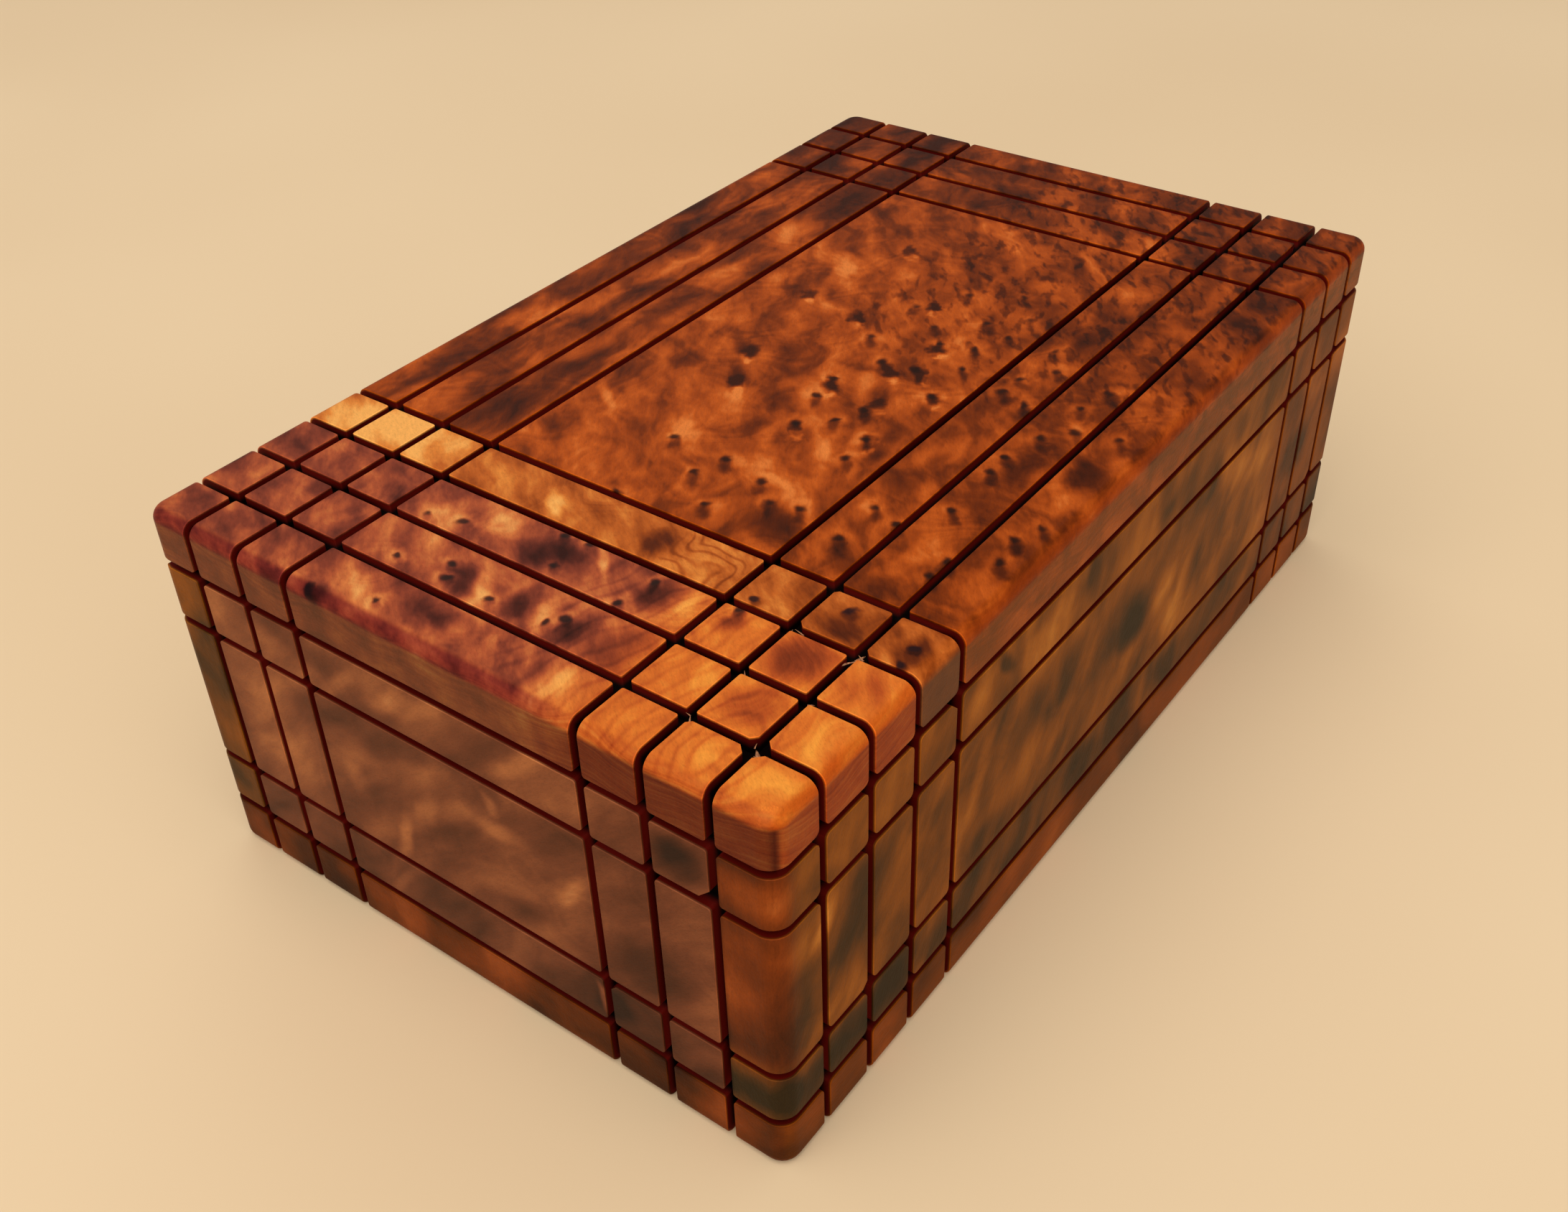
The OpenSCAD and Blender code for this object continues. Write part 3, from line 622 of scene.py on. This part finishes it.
# %% Mix the light and dark of the main board
LEAN = 35  # degrees by which its eyes and fibres lean
BACK_ROWS = (21.5, 25.0)  # from here the rows behind the field have their own figure
main = Board("lid_main_burl", "xyz", TALL)
dots, tails = main.eyes(main_eyes, LEAN, tail=1.3, squeeze=0.42)
hoods, cores = main.curls(main_curls, LEAN, drop=1.25, squeeze=0.58)
behind = main.v.step(*BACK_ROWS)
before = main.v.step(-22.5, -23.5)
# the far end of the board, which is painted darker as painted shade
far_end_shade = main.u.step(50, 56)
flow = main.shift(main.face, 13, 5)
flames = main.noise(flow.turned(37, (2.2, 1, 1)), 5.0, 3.0, 0.52)
bands = main.noise(flow.turned(4, (3.0, 1, 1)), 6.5, 3.0, 0.5)
wisps = main.noise(main.frame(LEAN) * (0.42, 1, 1), 1.7, 2.0, 0.5).step(0.32, 0.5, 1.0, 0.0)
wisp_zone = main.u.step(-4, 22) * main.v.step(-2, 9, 1.0, 0.0)
figure = (flames - 0.5) * (1 - behind) * 1.3 + (bands - 0.5) * behind * 1.7
light = 0.60 + figure + main.patches(main_patches) * 1.1 - wisps * (0.07 + wisp_zone * 0.19)
# pale rims round the eyes, and painted shade that deepens slowly along the board towards the far
# end
light = light + dots.step(0.9, 2.8, 0.15, 0.0) - main.u.step(-20, 50) * 0.06
# duller rows behind and before the field, and painted shade on the far end
light = light - behind * 0.08 - before * 0.09 - far_end_shade * (0.06 + main.v.step(-8, 8) * 0.1)
# growth lines, the dark tails of the eyes, and the larger curls
light = light + (main.lines(16, 18, 0.6) - 0.5) * 0.22 - tails.step(0.1, 1.3, 0.42, 0.0)
light = light - hoods.step(0.5, 1.6, 0.35, 0.0) + cores.step(0.1, 1.15, 0.36, 0.0)
print("main board:", len(main.tree.nodes), "nodes for its light")

# %% Colour the main board
main_ramp = [(0.08, tone(58, 20, 3)), (0.28, tone(92, 33, 2)), (0.44, tone(124, 48, 3)),
             (0.58, tone(160, 66, 9)), (0.74, tone(192, 86, 20)), (0.95, tone(226, 124, 52))]
colour = main.ramp(light, main_ramp)
colour = main.blend(dots.step(0.3, 1.1, 0.9, 0.0), colour, tone(34, 12, 4))
# The front side face below the top is painted duller and darker than the top: partly its own end
# grain, partly painted shade.
front_side = main.axis["y"].step(-48.8, -49.6)
below_edge = main.axis["z"].step(56.6, 55.8)
colour = main.blend(front_side * below_edge * 0.5, colour, tone(142, 82, 34))
on_edge = main.axis["z"].within(56.6, 57.6, 0.4)
colour = main.blend(front_side * on_edge * 0.5, colour, tone(160, 62, 8))
main_burl = main.varnish(colour, LEAN)
print("main board:", len(main.tree.nodes), "nodes")

# %% [markdown]
# ## The near board and the light strip
# The near board is the wildest: pinkish brown with purple clouds and single round eyes, its pink
# partly a painted sheen. Its front corner is sapwood, golden and plain, with growth lines that
# sweep across the blocks. The light strip beside it comes from the edge of the burl, so it is
# paler, with wavy golden lines.

# %% List the near board's eyes and patches
near_eyes = [
    (-76.4, 9.8, 0.1), (-69.2, 14.5, 0.0), (-66.6, 8.0, 0.1), (-69.1, 6.6, 0.1),
    (-69.4, -0.5, 0.0), (-69.1, -9.0, 0.0), (-67.1, -10.3, 0.0), (-59.2, 12.7, 0.2),
    (-59.9, -2.5, 0.2), (-54.5, 0.6, 0.1), (-54.3, -3.0, 0.2), (-61.0, -13.2, 0.1),
    (-56.1, -14.6, 0.2), (-60.8, 18.0, 0.4), (-54.3, -26.4, 0.0), (-79.0, 18.6, 0.1),
]
near_patches = [
    # purple clouds
    (-74.4, 3.8, 3.8, 5.6, 0, -0.24), (-68.4, 4.4, 4.4, 2.4, 45, -0.30),
    (-58.3, -1.4, 4.8, 5.8, 0, -0.30), (-66.4, -4.0, 7.0, 2.2, 0, -0.24),
    (-67.6, -12.6, 6.0, 2.6, -10, -0.28), (-57.9, -16.4, 3.8, 3.6, 0, -0.32),
    (-61.2, 8.6, 2.8, 4.4, 0, -0.18), (-79.0, 18.4, 2.4, 3.0, 0, -0.36),
    (-67.5, -19.5, 6.5, 3.6, -10, -0.14), (-76.0, -9.4, 4.0, 3.4, 0, -0.12),
    # light flames
    (-56.8, 8.4, 4.2, 3.6, 45, 0.20), (-66.6, 2.4, 5.6, 1.6, 45, 0.26),
    (-65.0, 10.6, 4.4, 2.2, 45, 0.16), (-57.8, 15.8, 4.4, 2.8, 0, 0.14),
    (-68.6, 10.8, 3.2, 2.0, 45, 0.10), (-76.6, 15.6, 3.0, 5.4, 0, 0.14),
    (-65.6, -7.4, 5.6, 1.7, 0, 0.20), (-56.0, -6.4, 3.8, 1.0, 45, 0.30),
    (-57.8, -10.4, 4.4, 2.2, 0, 0.16), (-76.4, -16.8, 4.8, 2.6, -10, 0.22),
    (-56.0, -20.6, 3.6, 1.6, 0, 0.18), (-76.4, -2.0, 2.6, 4.0, 0, 0.08),
    # the sapwood blocks
    (-76.0, -46.4, 4.4, 4.4, 0, 0.10), (-75.4, -38.9, 3.0, 2.0, 0, 0.16),
    (-66.0, -30.2, 4.4, 2.2, 0, 0.10), (-58.0, -37.0, 5.6, 5.0, 0, -0.30),
    (-56.0, -27.0, 3.8, 2.0, 0, -0.26), (-66.8, -37.4, 4.8, 4.6, 0, -0.20),
    (-57.5, -46.0, 5.0, 4.4, 0, -0.10), (-67.0, -46.8, 4.6, 3.2, 0, 0.12),
]
print("near board:", len(near_eyes), "eyes,", len(near_patches), "patches")

# %% Mix the light and dark of the near board
near = Board("lid_near_burl", "xyz", TALL)
dots, tails = near.eyes(near_eyes, 45, tail=0.5, squeeze=0.6)
sapwood = near.v.step(-12, -25)
behind = near.v.step(*BACK_ROWS)
flow = near.shift(near.face, 16, 3)
flames = near.noise(flow.turned(48, (2.0, 1, 1)), 4.2, 3.0, 0.55)
# sweeping growth lines, and an oval of them on a block near the corner
sweep = near.frame(-17).parts()[1] / 2.1 + near.noise(near.soft, 17, 1.0) * 5
oval = (near.soft * (0.45, 1, 0)).distance((-75.0 * 0.45, -38.7, 0))
arcs = near.rings(sweep) * near.v.within(-30.0, -10.0, 4.0) * 0.7
arcs += near.rings(oval * 0.6) * oval.within(0.8, 5.0, 0.8) * 0.8
light = 0.57 + (flames - 0.5) * (1.1 - sapwood * 0.7) + near.patches(near_patches) * 1.1
arcs = arcs * near.w.step(0.8, 1.8, 1.0, 0.0)
light = light + dots.step(0.8, 2.4, 0.16, 0.0) + sapwood * 0.19 - behind * 0.07 - arcs * 0.10
# layers that show most on the board's side faces
layers = near.lines(22, 20, 0.6) - 0.5
light = light + layers * (near.w.step(0.8, 1.8, 0.14, 0.3) + sapwood * 0.1)
light = light - tails.step(0.3, 1.1, 0.24, 0.0)
print("near board:", len(near.tree.nodes), "nodes for its light")

# %% Colour the near board
# the ramp's pinkish cast is partly the board's own tone and partly a painted sheen
near_ramp = [(0.08, tone(52, 19, 11)), (0.28, tone(90, 36, 24)), (0.46, tone(136, 59, 37)),
             (0.60, tone(176, 83, 46)), (0.76, tone(212, 118, 60)), (0.96, tone(240, 166, 90))]
colour = near.ramp(light, near_ramp)
colour = near.shade(colour, (1.10, 0.93, 0.44), sapwood)
colour = near.blend(dots.step(0.3, 0.95, 0.88, 0.0), colour, tone(34, 22, 18))
side_face = near.axis["z"].step(57.0, 56.0)
edge_band = near.axis["z"].step(56.0, 56.6)
end_side = near.axis["x"].step(-78.3, -79.1)
front_side = near.axis["y"].step(-48.6, -49.5)
# The side faces below the top are painted darker than the top, the sapwood's most: partly their
# own end grain, partly painted shade.
colour = near.blend(end_side * side_face * (0.78 - sapwood * 0.5), colour, tone(100, 56, 32))
colour = near.shade(colour, (0.28, 0.20, 0.36), end_side * side_face * sapwood)
colour = near.shade(colour, (0.56, 0.36, 0.62), end_side * edge_band * (1 - sapwood * 0.5))
colour = near.shade(colour, (0.46, 0.33, 0.46), front_side * side_face)
colour = near.blend(front_side * edge_band * 0.6, colour, tone(196, 80, 8))
near_burl = near.varnish(colour, 48)  # its fibres lean by 48 degrees
print("near board:", len(near.tree.nodes), "nodes")

# %% Mix the light strip
strip = Board("lid_light_burl", "xyz", TALL)
strip_eyes = [(-51.6, -26.3, 0.0), (-47.2, -36.6, 0.2), (-52.2, -46.2, 0.2), (-48.6, -46.2, 0.1)]
strip_patches = [
    (-48.8, 37.0, 8.0, 16.0, 0, 0.44), (-50.0, 6.6, 4.6, 1.5, 45, 0.34),
    (-48.8, -9.6, 3.4, 2.6, 0, -0.26), (-49.0, 1.0, 6.0, 4.0, 0, -0.08),
    (-48.8, -18.0, 6.0, 7.0, 0, 0.16), (-50.2, -37.4, 2.8, 4.0, 0, -0.22),
    (-50.0, -46.4, 4.4, 2.8, 0, -0.26), (-48.6, -29.0, 5.0, 3.0, 45, 0.06),
    (-48.8, 14.0, 6.0, 6.0, 0, 0.08),
]
dots, tails = strip.eyes(strip_eyes, 45, tail=0.5, squeeze=0.7)
flow = strip.shift(strip.face, 12, 2.5)
flames = strip.noise(flow.turned(52, (2.6, 1, 1)), 3.2, 3.0, 0.55)
wave = strip.frame(52).parts()[1] / 2.3 + strip.noise(strip.soft, 8, 1.0) * 6
waves = strip.rings(wave) * strip.v.within(-21.0, -13.0, 2.0)
light = 0.60 + (flames - 0.5) * 0.9 + strip.patches(strip_patches)
light = light - tails.step(0.3, 1.3, 0.26, 0.0)
light = light + (strip.lines(20, 18, 0.6) - 0.5) * 0.16 - waves * 0.17
light = light - strip.v.step(-22, -26) * 0.06
strip_ramp = [(0.08, tone(56, 19, 6)), (0.28, tone(102, 40, 8)), (0.46, tone(152, 68, 16)),
              (0.62, tone(192, 96, 32)), (0.80, tone(226, 134, 54)), (0.98, tone(248, 174, 88))]
colour = strip.ramp(light, strip_ramp)
colour = strip.blend(dots.step(0.4, 1.0, 0.9, 0.0), colour, tone(38, 16, 18))
# The strip's front side face below the top is painted darker: partly its own end grain, partly
# painted shade.
side_tone_and_shade = strip.axis["y"].step(-48.6, -49.6) * strip.axis["z"].step(57.4, 56.2)
colour = strip.blend(side_tone_and_shade * 0.9, colour, tone(96, 60, 36))
strip_burl = strip.varnish(colour, 52)
print("light strip:", len(strip.tree.nodes), "nodes")

# %% [markdown]
# ## The walls and the base
# The walls were sawn from the quieter part of the burl. They have no eyes, only clouds: olive and
# ochre along the front, and long pale flames on a purple brown ground at the near end. The rail
# and the drawer front are cut out of the wall that they hide in, so they share its figure. The
# back and the far end can't be seen in the picture that the box was studied from, so they follow
# the front and the near end, with clouds of their own.

# %% A helper for the quiet boards
def quiet_burl(name, axes, surface, spots, turn, stretch, level, cloudy=1.0):
    """A board without eyes, and its light, which varies around a level."""
    wall = Board(name, axes, surface)
    flow = wall.shift(wall.face, 20, 5)
    flames = wall.noise(flow.turned(turn, (stretch, 1, 1)), 5.2, 2.0, 0.5)
    clouds = wall.noise(flow.turned(turn, (1.5, 1, 1)), 13, 2.0, 0.4)
    light = level + (flames - 0.5) * 0.62 + (clouds - 0.5) * cloudy + wall.patches(spots) * 1.2
    layers = wall.w.step(0.6, 2.0, 0.16, 0.04)
    print(f"{name}: {len(spots)} patches")
    return wall, light + (wall.lines(10, 18, 0.7) - 0.5) * layers


# %% Mix the front
front_ramp = [(0.10, tone(50, 36, 16)), (0.30, tone(78, 47, 18)), (0.48, tone(114, 63, 18)),
              (0.62, tone(140, 77, 20)), (0.78, tone(170, 98, 30)), (0.96, tone(204, 130, 50))]
front_patches = [
    (-15.0, 34.5, 5.5, 6.0, 0, -0.26), (3.0, 29.6, 5.5, 6.0, 0, -0.24),
    (-33.5, 46.8, 4.4, 1.6, -50, -0.30), (-11.0, 47.0, 3.0, 5.0, 0, -0.20),
    (10.0, 46.0, 3.6, 5.0, 0, -0.22), (34.0, 46.0, 4.0, 4.0, 0, -0.18),
    (-38.0, 34.0, 9.0, 2.4, 70, 0.20), (-64.0, 31.0, 5.0, 10.0, -20, -0.12),
    (-72.0, 36.0, 6.0, 2.2, 70, 0.18), (-76.5, 25.0, 3.6, 10.0, -20, -0.14),
    (-22.0, 26.0, 12.0, 5.0, 0, 0.10), (13.0, 30.0, 5.0, 5.0, 0, 0.14),
    (-33.0, 20.0, 9.0, 4.0, 0, -0.14), (-10.5, 12.0, 7.0, 4.6, 0, -0.20),
    (18.0, 12.5, 7.0, 4.6, 0, -0.18), (-62.0, 12.5, 20.0, 4.6, 0, -0.18),
    (-40.0, 45.0, 5.0, 5.0, 0, 0.14), (40.0, 36.0, 14.0, 4.0, -20, 0.12),
    (-80.0, 12.6, 5.0, 4.6, 0, -0.40), (-80.0, 45.6, 4.0, 4.4, 0, 0.24),
    (-80.0, 23.0, 4.0, 7.0, 0, -0.12), (-25.0, 44.0, 6.0, 4.0, 0, 0.12),
    (60.0, 28.0, 8.0, 6.0, -20, -0.16),
]
front, light = quiet_burl("front_burl", "xzy", -WIDE / 2, front_patches, 60, 2.0, 0.53)
# Painted shade: the round upright corner at the near end is painted darker and redder, and the low
# row near the base is painted darker.
corner = front.axis["x"].step(-75.0, -79.0) * front.v.step(14.0, 20.0)
colour = front.ramp(light - front.v.step(18.5, 15.5) * 0.14 - corner * 0.04, front_ramp)
colour = front.shade(colour, (0.74, 0.48, 0.58), corner)
colour = front.shade(colour, (0.94, 0.84, 1.15), front.u.step(46, 56))
front_burl = front.varnish(colour, 68, sheen=0.44, red=(0.8, 2.0))

# %% Mix the near end
end_ramp = [(0.10, tone(50, 30, 20)), (0.30, tone(82, 44, 26)), (0.48, tone(114, 62, 38)),
            (0.62, tone(140, 80, 48)), (0.78, tone(172, 104, 60)), (0.96, tone(212, 146, 88))]
end_patches = [
    (10.2, 22.4, 7.0, 1.8, -72, 0.22), (5.6, 28.0, 7.0, 2.2, -55, 0.20),
    (-1.0, 32.2, 7.5, 2.4, -35, 0.20), (-8.0, 33.6, 6.0, 2.0, -10, 0.14),
    (17.0, 44.4, 9.0, 1.7, -40, 0.16), (5.0, 46.4, 10.0, 2.2, -25, 0.20),
    (-14.0, 47.2, 9.0, 2.0, -35, 0.18), (-7.8, 37.6, 1.8, 2.2, 0, 0.16),
    (-19.5, 29.8, 6.0, 1.6, -50, 0.16), (17.6, 28.0, 2.4, 4.4, 0, 0.12),
    (6.0, 38.8, 13.0, 3.2, -20, -0.16), (-15.0, 37.0, 10.0, 4.0, -15, -0.12),
    (21.0, 46.8, 5.0, 2.6, -20, -0.12), (-36.6, 45.4, 5.4, 4.4, -20, -0.28),
    (-31.0, 28.0, 9.0, 16.0, 0, -0.16), (12.0, 12.5, 8.0, 1.4, -50, 0.12),
    (-24.5, 12.6, 4.0, 4.4, 0, -0.14), (-22.4, 12.6, 4.0, 0.9, 70, 0.36),
    (34.0, 30.0, 12.0, 16.0, 0, 0.12), (-8.0, 20.5, 11.0, 3.0, -25, -0.10),
    (30.0, 45.5, 5.0, 3.0, 0, 0.10),
]
end, light = quiet_burl("end_burl", "yzx", -LONG / 2, end_patches, -42, 3.4, 0.52, 0.6)
# painted shade: the low row near the base is painted darker
colour = end.ramp(light - end.v.step(18.5, 15.5) * 0.12, end_ramp)
end_burl = end.varnish(colour, -40, sheen=0.42, red=(0.9, 2.1))

# %% Mix the base
base_ramp = [(0.10, tone(56, 24, 4)), (0.34, tone(88, 41, 4)), (0.52, tone(116, 54, 5)),
             (0.70, tone(138, 64, 10)), (0.92, tone(170, 84, 20))]
base_patches = [
    (-80.0, -49.0, 6.0, 6.0, 0, -0.16), (-80.0, -5.0, 3.0, 6.0, 0, 0.18),
    (-58.0, -50.0, 8.0, 3.0, 0, 0.16), (-38.0, -50.0, 7.0, 3.0, 0, -0.16),
    (-14.0, -50.0, 8.0, 3.0, 0, 0.18), (8.0, -50.0, 6.0, 3.0, 0, -0.14),
    (30.0, -50.0, 9.0, 3.0, 0, 0.14), (56.0, -50.0, 9.0, 3.0, 0, -0.14),
    (-80.0, 16.0, 3.0, 8.0, 0, 0.12), (-80.0, -30.0, 3.0, 7.0, 0, -0.12),
    (-80.0, 32.0, 3.0, 7.0, 0, -0.16),
]
base, light = quiet_burl("base_burl", "xyz", 0, base_patches, 20, 2.0, 0.48, 1.3)
colour = base.ramp(light, base_ramp)
colour = base.shade(colour, (0.72, 0.68, 1.3), base.axis["x"].step(-78.8, -79.6))
base_burl = base.varnish(colour, 0, sheen=0.46)

# %% Mix the back and the far end
back_patches = [
    (-50.0, 32.0, 9.0, 6.0, 20, -0.22), (-18.0, 27.0, 6.0, 5.0, 0, 0.16),
    (14.0, 36.0, 8.0, 5.0, -20, -0.20), (36.0, 24.0, 10.0, 3.0, 70, 0.18),
    (62.0, 33.0, 6.0, 9.0, 0, -0.16), (-2.0, 46.0, 9.0, 4.0, 0, 0.14),
]
back, light = quiet_burl("back_burl", "xzy", WIDE / 2, back_patches, -55, 2.0, 0.53)
back_burl = back.varnish(back.ramp(light, front_ramp), 0, sheen=0.44)
far_patches = [
    (-20.0, 30.0, 9.0, 3.0, 45, 0.20), (12.0, 36.0, 8.0, 5.0, 0, -0.18),
    (6.0, 22.0, 9.0, 2.4, 20, 0.16), (34.0, 30.0, 5.0, 10.0, 0, -0.14),
]
far_end, light = quiet_burl("far_end_burl", "yzx", LONG / 2, far_patches, 45, 2.6, 0.52)
far_end_burl = far_end.varnish(far_end.ramp(light, end_ramp), 40, sheen=0.42)

# %% Dress the boards
coats = {"lid_main_board": main_burl, "lid_near_board": near_burl, "lid_light_strip": strip_burl,
         "front_wall": front_burl, "keyhole_rail": front_burl, "back_wall": back_burl,
         "near_end_wall": end_burl, "drawer_front": end_burl, "far_end_wall": far_end_burl,
         "base_board": base_burl}
for name in SAWN:
    stand_in(name, sawn_board(name), body_of[name], coats[name])

# %% [markdown]
# ## Torn fibres
# Where two cuts cross, the saw has torn the corners of some blocks, and pale slivers still hang
# there. They are small, but they tell the eye that the cuts are real. Each sliver is a thin cone,
# flattened, bent a little and laid along the tear. All of them are one piece on the lid.

# %% Hang the slivers in the crossings
SLIVERS = [  # place, length, width, and the way it points in degrees
    (-71.9, -33.0, 57.5, 1.5, 0.32, 35), (-72.2, -33.3, 57.3, 0.9, 0.22, -20),
    (-71.0, -32.0, 57.2, 0.8, 0.18, 80), (-53.7, -33.0, 57.4, 1.3, 0.26, 15),
    (-52.9, -33.6, 57.2, 1.6, 0.22, 75), (-54.2, -41.4, 57.2, 2.0, 0.42, -38),
    (-52.9, -42.0, 57.3, 1.2, 0.30, 60), (-53.3, -44.6, 57.1, 2.4, 0.20, 86),
    (-70.9, -41.0, 57.2, 0.9, 0.20, 20), (-44.6, -33.3, 57.2, 1.1, 0.20, 10),
    (-62.2, -32.9, 57.3, 0.8, 0.16, 40), (-71.7, -41.8, 56.8, 1.9, 0.9, 45),
    (-72.3, -42.3, 57.1, 1.3, 0.55, 80), (-52.6, -41.8, 56.9, 1.5, 0.7, -10),
    (-62.4, -42.0, 57.2, 0.8, 0.2, -60),
]
BEND, WOBBLE = 1.2, 0.06  # in widths of the sliver
CUTS_ALONG = (-0.25, 0.0, 0.25)  # where a cone gets more points to bend at, in lengths
rng = random.Random(11)
torn_mesh = bpy.data.meshes.new("torn_fibres")
torn = bmesh.new()
for x, y, z, length, width, turn in SLIVERS:
    sliver = bmesh.new()
    bmesh.ops.create_cone(sliver, cap_ends=True, segments=7, radius1=width / 2 * MM,
                          radius2=width / 12 * MM, depth=length * MM)
    for step in CUTS_ALONG:
        bmesh.ops.bisect_plane(sliver, geom=sliver.verts[:] + sliver.edges[:] + sliver.faces[:],
                               plane_co=(0, 0, step * length * MM), plane_no=(0, 0, 1))
    for vertex in sliver.verts:
        along = vertex.co.z / (length * MM)
        vertex.co.x += (along * along * BEND + rng.uniform(-WOBBLE, WOBBLE)) * width * MM
    bmesh.ops.scale(sliver, verts=sliver.verts, vec=(0.5, 1, 1))
    lay_down = Matrix.Rotation(math.radians(90), 3, "Y")
    bmesh.ops.rotate(sliver, verts=sliver.verts, matrix=lay_down)
    swing = Matrix.Rotation(math.radians(turn), 3, "Z")
    bmesh.ops.rotate(sliver, verts=sliver.verts, matrix=swing)
    bmesh.ops.translate(sliver, verts=sliver.verts, vec=Vector((x, y, z)) * MM)
    sliver.to_mesh(torn_mesh)
    sliver.free()
    torn.from_mesh(torn_mesh)
bmesh.ops.recalc_face_normals(torn, faces=torn.faces)
torn.to_mesh(torn_mesh)
torn.free()
torn_mesh.shade_smooth()
print("slivers:", len(SLIVERS), "faces:", len(torn_mesh.polygons))

# %% Give the slivers their wood and hang them on the lid
paint = Paint("torn_wood")
place = paint.millimetres()
fibre = paint.noise(place.turned(35, (3, 1, 1)), 0.3, 3.0)
colour = paint.ramp(fibre, [(0.3, tone(124, 58, 28)), (0.7, tone(206, 146, 100))])
torn_wood = paint.finish(colour, roughness=0.6, height=fibre, depth=0.03)
torn_mesh.materials.append(torn_wood)
torn_fibres = bpy.data.objects.new("torn_fibres", torn_mesh)
bpy.context.collection.objects.link(torn_fibres)
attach(torn_fibres, "lid")
print("torn fibres hang on the lid")

# %% [markdown]
# ## Brass and inner wood
# The hinges, the lock and the key are brass that has aged in a drawer: it is a little brown where
# nobody touches it and bright where it rubs, with fine scratches in the gloss. The plates have
# edges that were filed soft, so they get a fine bevel as well. Inside, the floor of the
# compartment and the little drawer are plain straight-grained wood, which is oiled but not waxed.

# %% Mix the brass
paint = Paint("aged_brass")
place = paint.millimetres()
cloud = paint.noise(place, 7, 4.0, 0.6)
spots = paint.noise(place, 1.1, 3.0, 0.6).step(0.58, 0.72)
scratches = paint.noise(place.turned(24, (14, 1, 1)), 0.22, 2.0)
age = cloud * 0.8 + scratches * 0.2 - spots * 0.18
colour = paint.ramp(age, [(0.22, tone(112, 78, 38)), (0.42, tone(164, 124, 60)),
                          (0.56, tone(198, 158, 82)), (0.72, tone(222, 188, 116))])
rough = 0.52 - age * 0.42 + scratches * 0.12
aged_brass = paint.finish(colour, rough, scratches, 0.006, {"Metallic": 1.0})
print("aged brass:", len(paint.tree.nodes), "nodes")

# %% Mix the inner wood
def plain_wood(name, stretch):
    """Straight grain: noise that is stretched along the board, with fine pores in it."""
    paint = Paint(name)
    place = paint.millimetres()
    wavy = paint.shift(place, 30, 1.5)
    grain = paint.noise(wavy * stretch, 1.6, 3.0, 0.6)
    broad = paint.noise(wavy * stretch, 7.0, 2.0)
    pores = paint.noise(place * stretch, 0.35, 2.0).step(0.62, 0.72)
    light = grain * 0.55 + broad * 0.45 - pores * 0.08
    colour = paint.ramp(light, [(0.3, tone(140, 92, 54)), (0.5, tone(180, 128, 80)),
                                (0.7, tone(208, 160, 108))])
    rough = 0.62 - light * 0.2 + pores * 0.1
    print(f"{name}: {len(paint.tree.nodes)} nodes")
    return paint.finish(colour, rough, grain - pores * 0.5, 0.04, {"Specular IOR Level": 0.3})


GRAIN = 0.05  # how little the grain changes along the board
wood_along = plain_wood("inner_wood_along", (GRAIN, 1, 1))
wood_across = plain_wood("inner_wood_across", (1, GRAIN, 1))

# %% Ease the edges of the plates and of the drawer
WOOD_EDGE, BRASS_EDGE = 0.35, 0.1


def eased(name, width):
    """A cleaned copy whose sharp outer edges are bevelled."""
    bm = cleaned_copy(name)
    edges = [e for e in bm.edges if sharp(e, UPRIGHT)]
    soften(bm, edges, width, 2, clamp=True)
    close_up(bm)
    open_edges = sum(1 for e in bm.edges if len(e.link_faces) != 2)
    print(f"{name}: {len(edges)} edges eased, {len(bm.faces)} faces, {open_edges} open edges")
    return bm


INNER_WOOD = {"compartment_floor": wood_along, "drawer_runner_front": wood_along,
              "drawer_runner_back": wood_along, "drawer_bottom": wood_along,
              "drawer_left_side": wood_along, "drawer_right_side": wood_along,
              "drawer_back": wood_across}
PLATES = ["lock_plate", "strike_plate", "lock_case", "key", "keyhole_rosette",
          "left_hinge_wall_leaf", "left_hinge_lid_leaf", "right_hinge_wall_leaf",
          "right_hinge_lid_leaf", "lock_bolt", "lock_cam", "left_staple", "right_staple"]
for name, wood in INNER_WOOD.items():
    stand_in(name, eased(name, WOOD_EDGE), body_of[name], wood)
for name in PLATES:
    stand_in(name, eased(name, BRASS_EDGE), body_of[name], aged_brass)

# %% Give the small fittings their brass
for name, thing in nodes.items():
    if name not in SAWN and name not in INNER_WOOD and name not in PLATES:
        thing.data.materials.clear()
        thing.data.materials.append(aged_brass)
        print("brass on", name)
